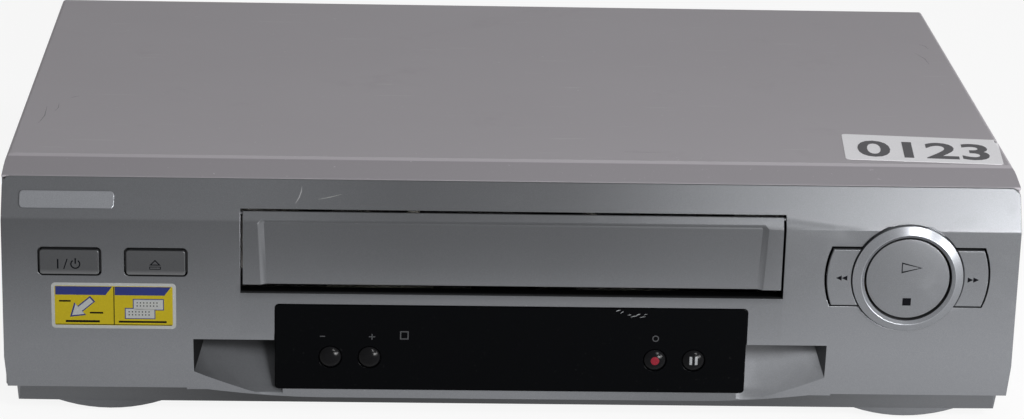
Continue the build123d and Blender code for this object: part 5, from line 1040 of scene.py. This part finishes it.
def mark_window():
    """Minus, plus, a square and a ring above the round keys."""
    signs = [box(-67.0, 31.6, -65.2, 31.95)]
    signs += [box(-49.9, 31.6, -47.7, 31.95), box(-48.98, 30.7, -48.62, 32.85)]
    signs += box_outline(-39.0, 30.9, -36.0, 34.0, 0.4)
    signs += arc_band(50.7, 32.2, 1.0, 0.35, 0.0, 360.0, 20)
    laid("window_signs", signs, "dim", "display_window")


def arrow(tip, tail, shaft, head):
    """Shaft and head of an arrow, each one outline."""
    tip, tail = Vector(tip), Vector(tail)
    along = (tip - tail).normalized()
    across = Vector((-along.y, along.x))
    neck = tip - along * head * 0.75
    return [
        [tuple(tail + across * shaft / 2), tuple(neck + across * shaft / 2)]
        + [tuple(neck - across * shaft / 2), tuple(tail - across * shaft / 2)],
        [tuple(tip), tuple(neck - across * head / 2), tuple(neck + across * head / 2)],
    ]


def mark_sticker():
    """Two-field hint sticker: an arrow on the left, two plug blocks on the right."""

    def printed(name, outlines, ink, lift):
        laid(name, outlines, ink, "front_panel", lift=lift, cell=4.0)

    left, low, right, high = -160.3, 33.8, -117.1, 50.7
    border = 1.15
    printed("sticker_base", [rounded(left, low, right, high, 1.4)], "border", 0.05)
    field = rounded(left + border, low + border, right - border, high - border, 0.6)
    printed("sticker_field", [field], "yellow", 0.065)
    middle = (left + right) / 2
    blocks = [((-131.8, 41.0), (-121.6, 44.6)), ((-134.6, 37.7), (-124.6, 41.2))]
    blue = []
    for start, end in ((left + 1.4, middle - 0.2), (middle + 0.4, right - 1.4)):
        top, foot = high - 1.35, high - 4.5
        blue.append([(start, foot), (end - 2.6, foot), (end - 0.3, top), (start, top)])
    blue += arrow((-153.9, 38.0), (-146.0, 44.8), 2.7, 6.2)
    edge = 0.3
    blue += [box(x0 - edge, z0 - edge, x1 + edge, z1 + edge) for (x0, z0), (x1, z1) in blocks]
    printed("sticker_blue", blue, "blue", 0.08)
    white = arrow((-153.2, 38.6), (-146.4, 44.4), 1.9, 4.9)
    white += [box(*start, *end) for start, end in blocks]
    printed("sticker_white", white, "border", 0.095)
    rules = [box(middle - 0.05, low + 1.3, middle + 0.25, high - 1.4)]
    rules += [box(left + 1.4, low + 1.3, right - 1.4, low + 1.55)]
    rules += [box(-157.6, 43.6, -153.6, 44.2), box(-147.0, 39.3, -142.4, 39.9)]
    rules += [box(-155.4, 36.0, -143.6, 36.8), box(-137.0, 36.0, -120.4, 36.7)]
    pitch = 1.15
    for (x0, z0), (_, z1) in blocks:
        for row in (0.3, 0.62):
            z = z0 + (z1 - z0) * row
            starts = [x0 + 1.0 + place * pitch for place in range(7)]
            rules += [box(start, z, start + 0.4, z + 0.45) for start in starts]
    printed("sticker_rules", rules, "dark", 0.11)


def add_badge():
    """Blank badge plate on the left of the sloping band."""
    outline = rounded(-171.0, 77.2, -138.4, 82.6, 1.3)
    plate = laid("badge_plate", [outline], "dark", "front_panel", lift=0.5, cell=2.4, eased_by=0.16)
    plate.data.materials[0] = finishes["ring_silver"]


def label_outline(corners, radius, count=5):
    """Four-sided outline with softly rounded corners."""
    outline = []
    for index, corner in enumerate(map(Vector, corners)):
        before = (Vector(corners[index - 1]) - corner).normalized() * radius
        after = (Vector(corners[(index + 1) % len(corners)]) - corner).normalized() * radius
        for step in range(count):
            share = step / (count - 1)
            outline.append(tuple(corner + before * (1 - share) ** 2 + after * share**2))
    return outline


def spread_text(body, low_left, low_right, high_left):
    """Outlines of a line of text, stretched to fill a slanted field."""
    text = bpy.data.curves.new("number_text", "FONT")
    text.body = body
    text.offset = 0.022
    text.resolution_u = 4
    flat = baked(draft_of("number_text", text))
    spots = [vert.co.to_2d() for vert in flat.vertices]
    low = [min(spot[i] for spot in spots) for i in range(2)]
    reach = [max(spot[i] for spot in spots) - low[i] for i in range(2)]
    origin = Vector(low_left)
    across, upward = Vector(low_right) - origin, Vector(high_left) - origin

    def stretched(spot):
        return origin + across * (spot.x - low[0]) / reach[0] + upward * (spot.y - low[1]) / reach[1]

    return [[tuple(stretched(spots[i])) for i in polygon.vertices] for polygon in flat.polygons]


def mark_cover():
    """White number label on the cover; its corners lie a little askew."""
    label = label_outline([(120.9, 61.8), (177.0, 56.5), (174.2, 25.9), (118.5, 30.3)], 1.6)
    laid("number_label", [label], "white", "top_cover", on_cover, 0.06, 4.0)
    digits = spread_text("0123", (123.6, 34.0), (170.5, 30.4), (125.2, 54.0))
    laid("number_digits", digits, "digit", "top_cover", on_cover, 0.09, 6.0)


def mark_wear():
    """Scratches on the band and the cover, and scuffs at the top of the window."""
    deep = stroke([(-75.8, 79.6), (-74.6, 81.4), (-73.9, 83.2), (-73.7, 84.8)], 0.36)
    laid("front_scratches", deep, "worn", "front_panel", lift=0.012, cell=3.0)
    scuffs = []
    for u, v, length, rise, width in (
        (36.4, 42.3, 1.6, 0.5, 0.3),
        (38.0, 41.5, 1.1, 0.7, 0.22),
        (40.6, 40.9, 1.3, 0.2, 0.2),
        (41.6, 40.2, 2.3, 0.5, 0.24),
        (43.6, 40.8, 1.4, 0.6, 0.3),
        (44.8, 40.1, 2.0, 0.3, 0.2),
        (46.2, 40.9, 1.2, 0.5, 0.18),
    ):
        scuffs += stroke([(u, v), (u + length * 0.5, v + rise * 0.7), (u + length, v + rise)], width)
    laid("window_scuffs", scuffs, "light", "display_window", lift=0.01, cell=3.0)
    faint = stroke([(-68.0, 80.9), (-63.6, 81.7), (-59.8, 82.6)], 0.14)
    laid("front_faint_scratch", faint, "border", "front_panel", lift=0.01, cell=3.0)
    scratches = []
    for width, points in (
        (0.3, [(-170.0, 62.0), (-168.6, 72.0), (-168.9, 84.0)]),
        (0.24, [(-165.5, 78.0), (-164.6, 83.0), (-164.9, 88.0)]),
        (0.3, [(-161.0, 96.0), (-160.0, 97.5), (-158.4, 98.2)]),
        (0.26, [(165.0, 176.0), (167.5, 168.0), (168.0, 160.0)]),
        (0.26, [(168.5, 190.0), (170.6, 187.0), (171.2, 183.0)]),
        (0.2, [(40.0, 36.0), (48.0, 35.6), (57.0, 36.3)]),
    ):
        scratches += stroke(points, width)
    laid("cover_scratches", scratches, "worn", "top_cover", on_cover, lift=0.01, cell=4.0)


mark_keys()
mark_window()
mark_sticker()
mark_cover()
mark_wear()
add_badge()


# ------ camera and light


def place_camera():
    """Long lens in front of the recorder, a little to its left and above it."""
    yaw, pitch, roll = math.radians(2.433), math.radians(17.768), math.radians(1.441)
    ahead = Vector((math.sin(yaw) * math.cos(pitch), math.cos(yaw) * math.cos(pitch), -math.sin(pitch)))
    level = Vector((math.cos(yaw), -math.sin(yaw), 0.0))
    upright = level.cross(ahead)
    right = math.cos(roll) * level + math.sin(roll) * upright
    up = -math.sin(roll) * level + math.cos(roll) * upright
    turn = Matrix((right, up, -ahead)).transposed().to_4x4()
    data = bpy.data.cameras.new("studio_camera")
    data.lens = 119.28
    data.sensor_width = 36.0
    data.clip_start = 0.01
    camera = bpy.data.objects.new("studio_camera", data)
    camera.matrix_world = Matrix.Translation((-0.0484, CREASE_Y - 1.117, 0.4377)) @ turn
    bpy.context.scene.collection.objects.link(camera)
    bpy.context.scene.camera = camera


def soft_lamp(name, place, aim, size, power):
    """A soft box; its place and aim are (across, behind the crease, high)."""
    place, aim = (Vector((x, CREASE_Y + y, z)) for x, y, z in (place, aim))
    data = bpy.data.lights.new(name, "AREA")
    data.shape = "RECTANGLE"
    data.size, data.size_y = size
    data.energy = power
    lamp = bpy.data.objects.new(name, data)
    lamp.location = place
    lamp.rotation_euler = (aim - place).to_track_quat("-Z", "Y").to_euler()
    bpy.context.scene.collection.objects.link(lamp)


def seen_as(tree, plain, white, share):
    """Shows the plain shader to light and the white one to camera, mirror and glass rays."""
    seen = tree.add("ShaderNodeLightPath", output="Is Camera Ray") * share
    for ray, part in (("Is Glossy Ray", 0.6), ("Is Transmission Ray", 1.0)):
        seen = seen.or_else(tree.add("ShaderNodeLightPath", output=ray) * part)
    return tree.add("ShaderNodeMixShader", inputs={0: seen, 1: plain, 2: white})


def light_studio():
    """Pale surroundings and floor, and three soft boxes to the right of the front."""
    world = bpy.data.worlds.new("studio")
    bpy.context.scene.world = world
    world.use_nodes = True
    sky = NodeTree(world.node_tree)
    fill = sky.add("ShaderNodeBackground", inputs={"Color": WHITE, "Strength": 0.36})
    white = sky.add("ShaderNodeBackground", inputs={"Color": WHITE, "Strength": 1.0})
    sky.add("ShaderNodeOutputWorld", inputs={"Surface": seen_as(sky, fill, white, 1.0)})

    bpy.ops.mesh.primitive_plane_add(size=8.0, location=(0, 0, 0))
    floor = bpy.context.object
    floor.name = "studio_floor"
    f = Finish("pale_floor")
    plain = f.add("ShaderNodeBsdfDiffuse", inputs={"Color": grey(0.8)})
    white = f.add("ShaderNodeEmission", inputs={"Color": WHITE, "Strength": 1.0})
    f.add("ShaderNodeOutputMaterial", inputs={"Surface": seen_as(f, plain, white, 0.88)})
    floor.data.materials.append(f.material)

    soft_lamp("high_right", (0.5, -0.9, 0.75), (0.05, 0.0, 0.06), size=(0.24, 0.24), power=7.5)
    soft_lamp("low_right", (0.58, -0.85, 0.14), (0.1, 0.0, 0.05), size=(0.35, 0.2), power=13.0)
    soft_lamp("side_right", (0.75, -0.55, 0.2), (0.14, 0.0, 0.05), size=(0.2, 0.2), power=4.0)


place_camera()
light_studio()
bpy.context.scene.view_settings.view_transform = "Standard"
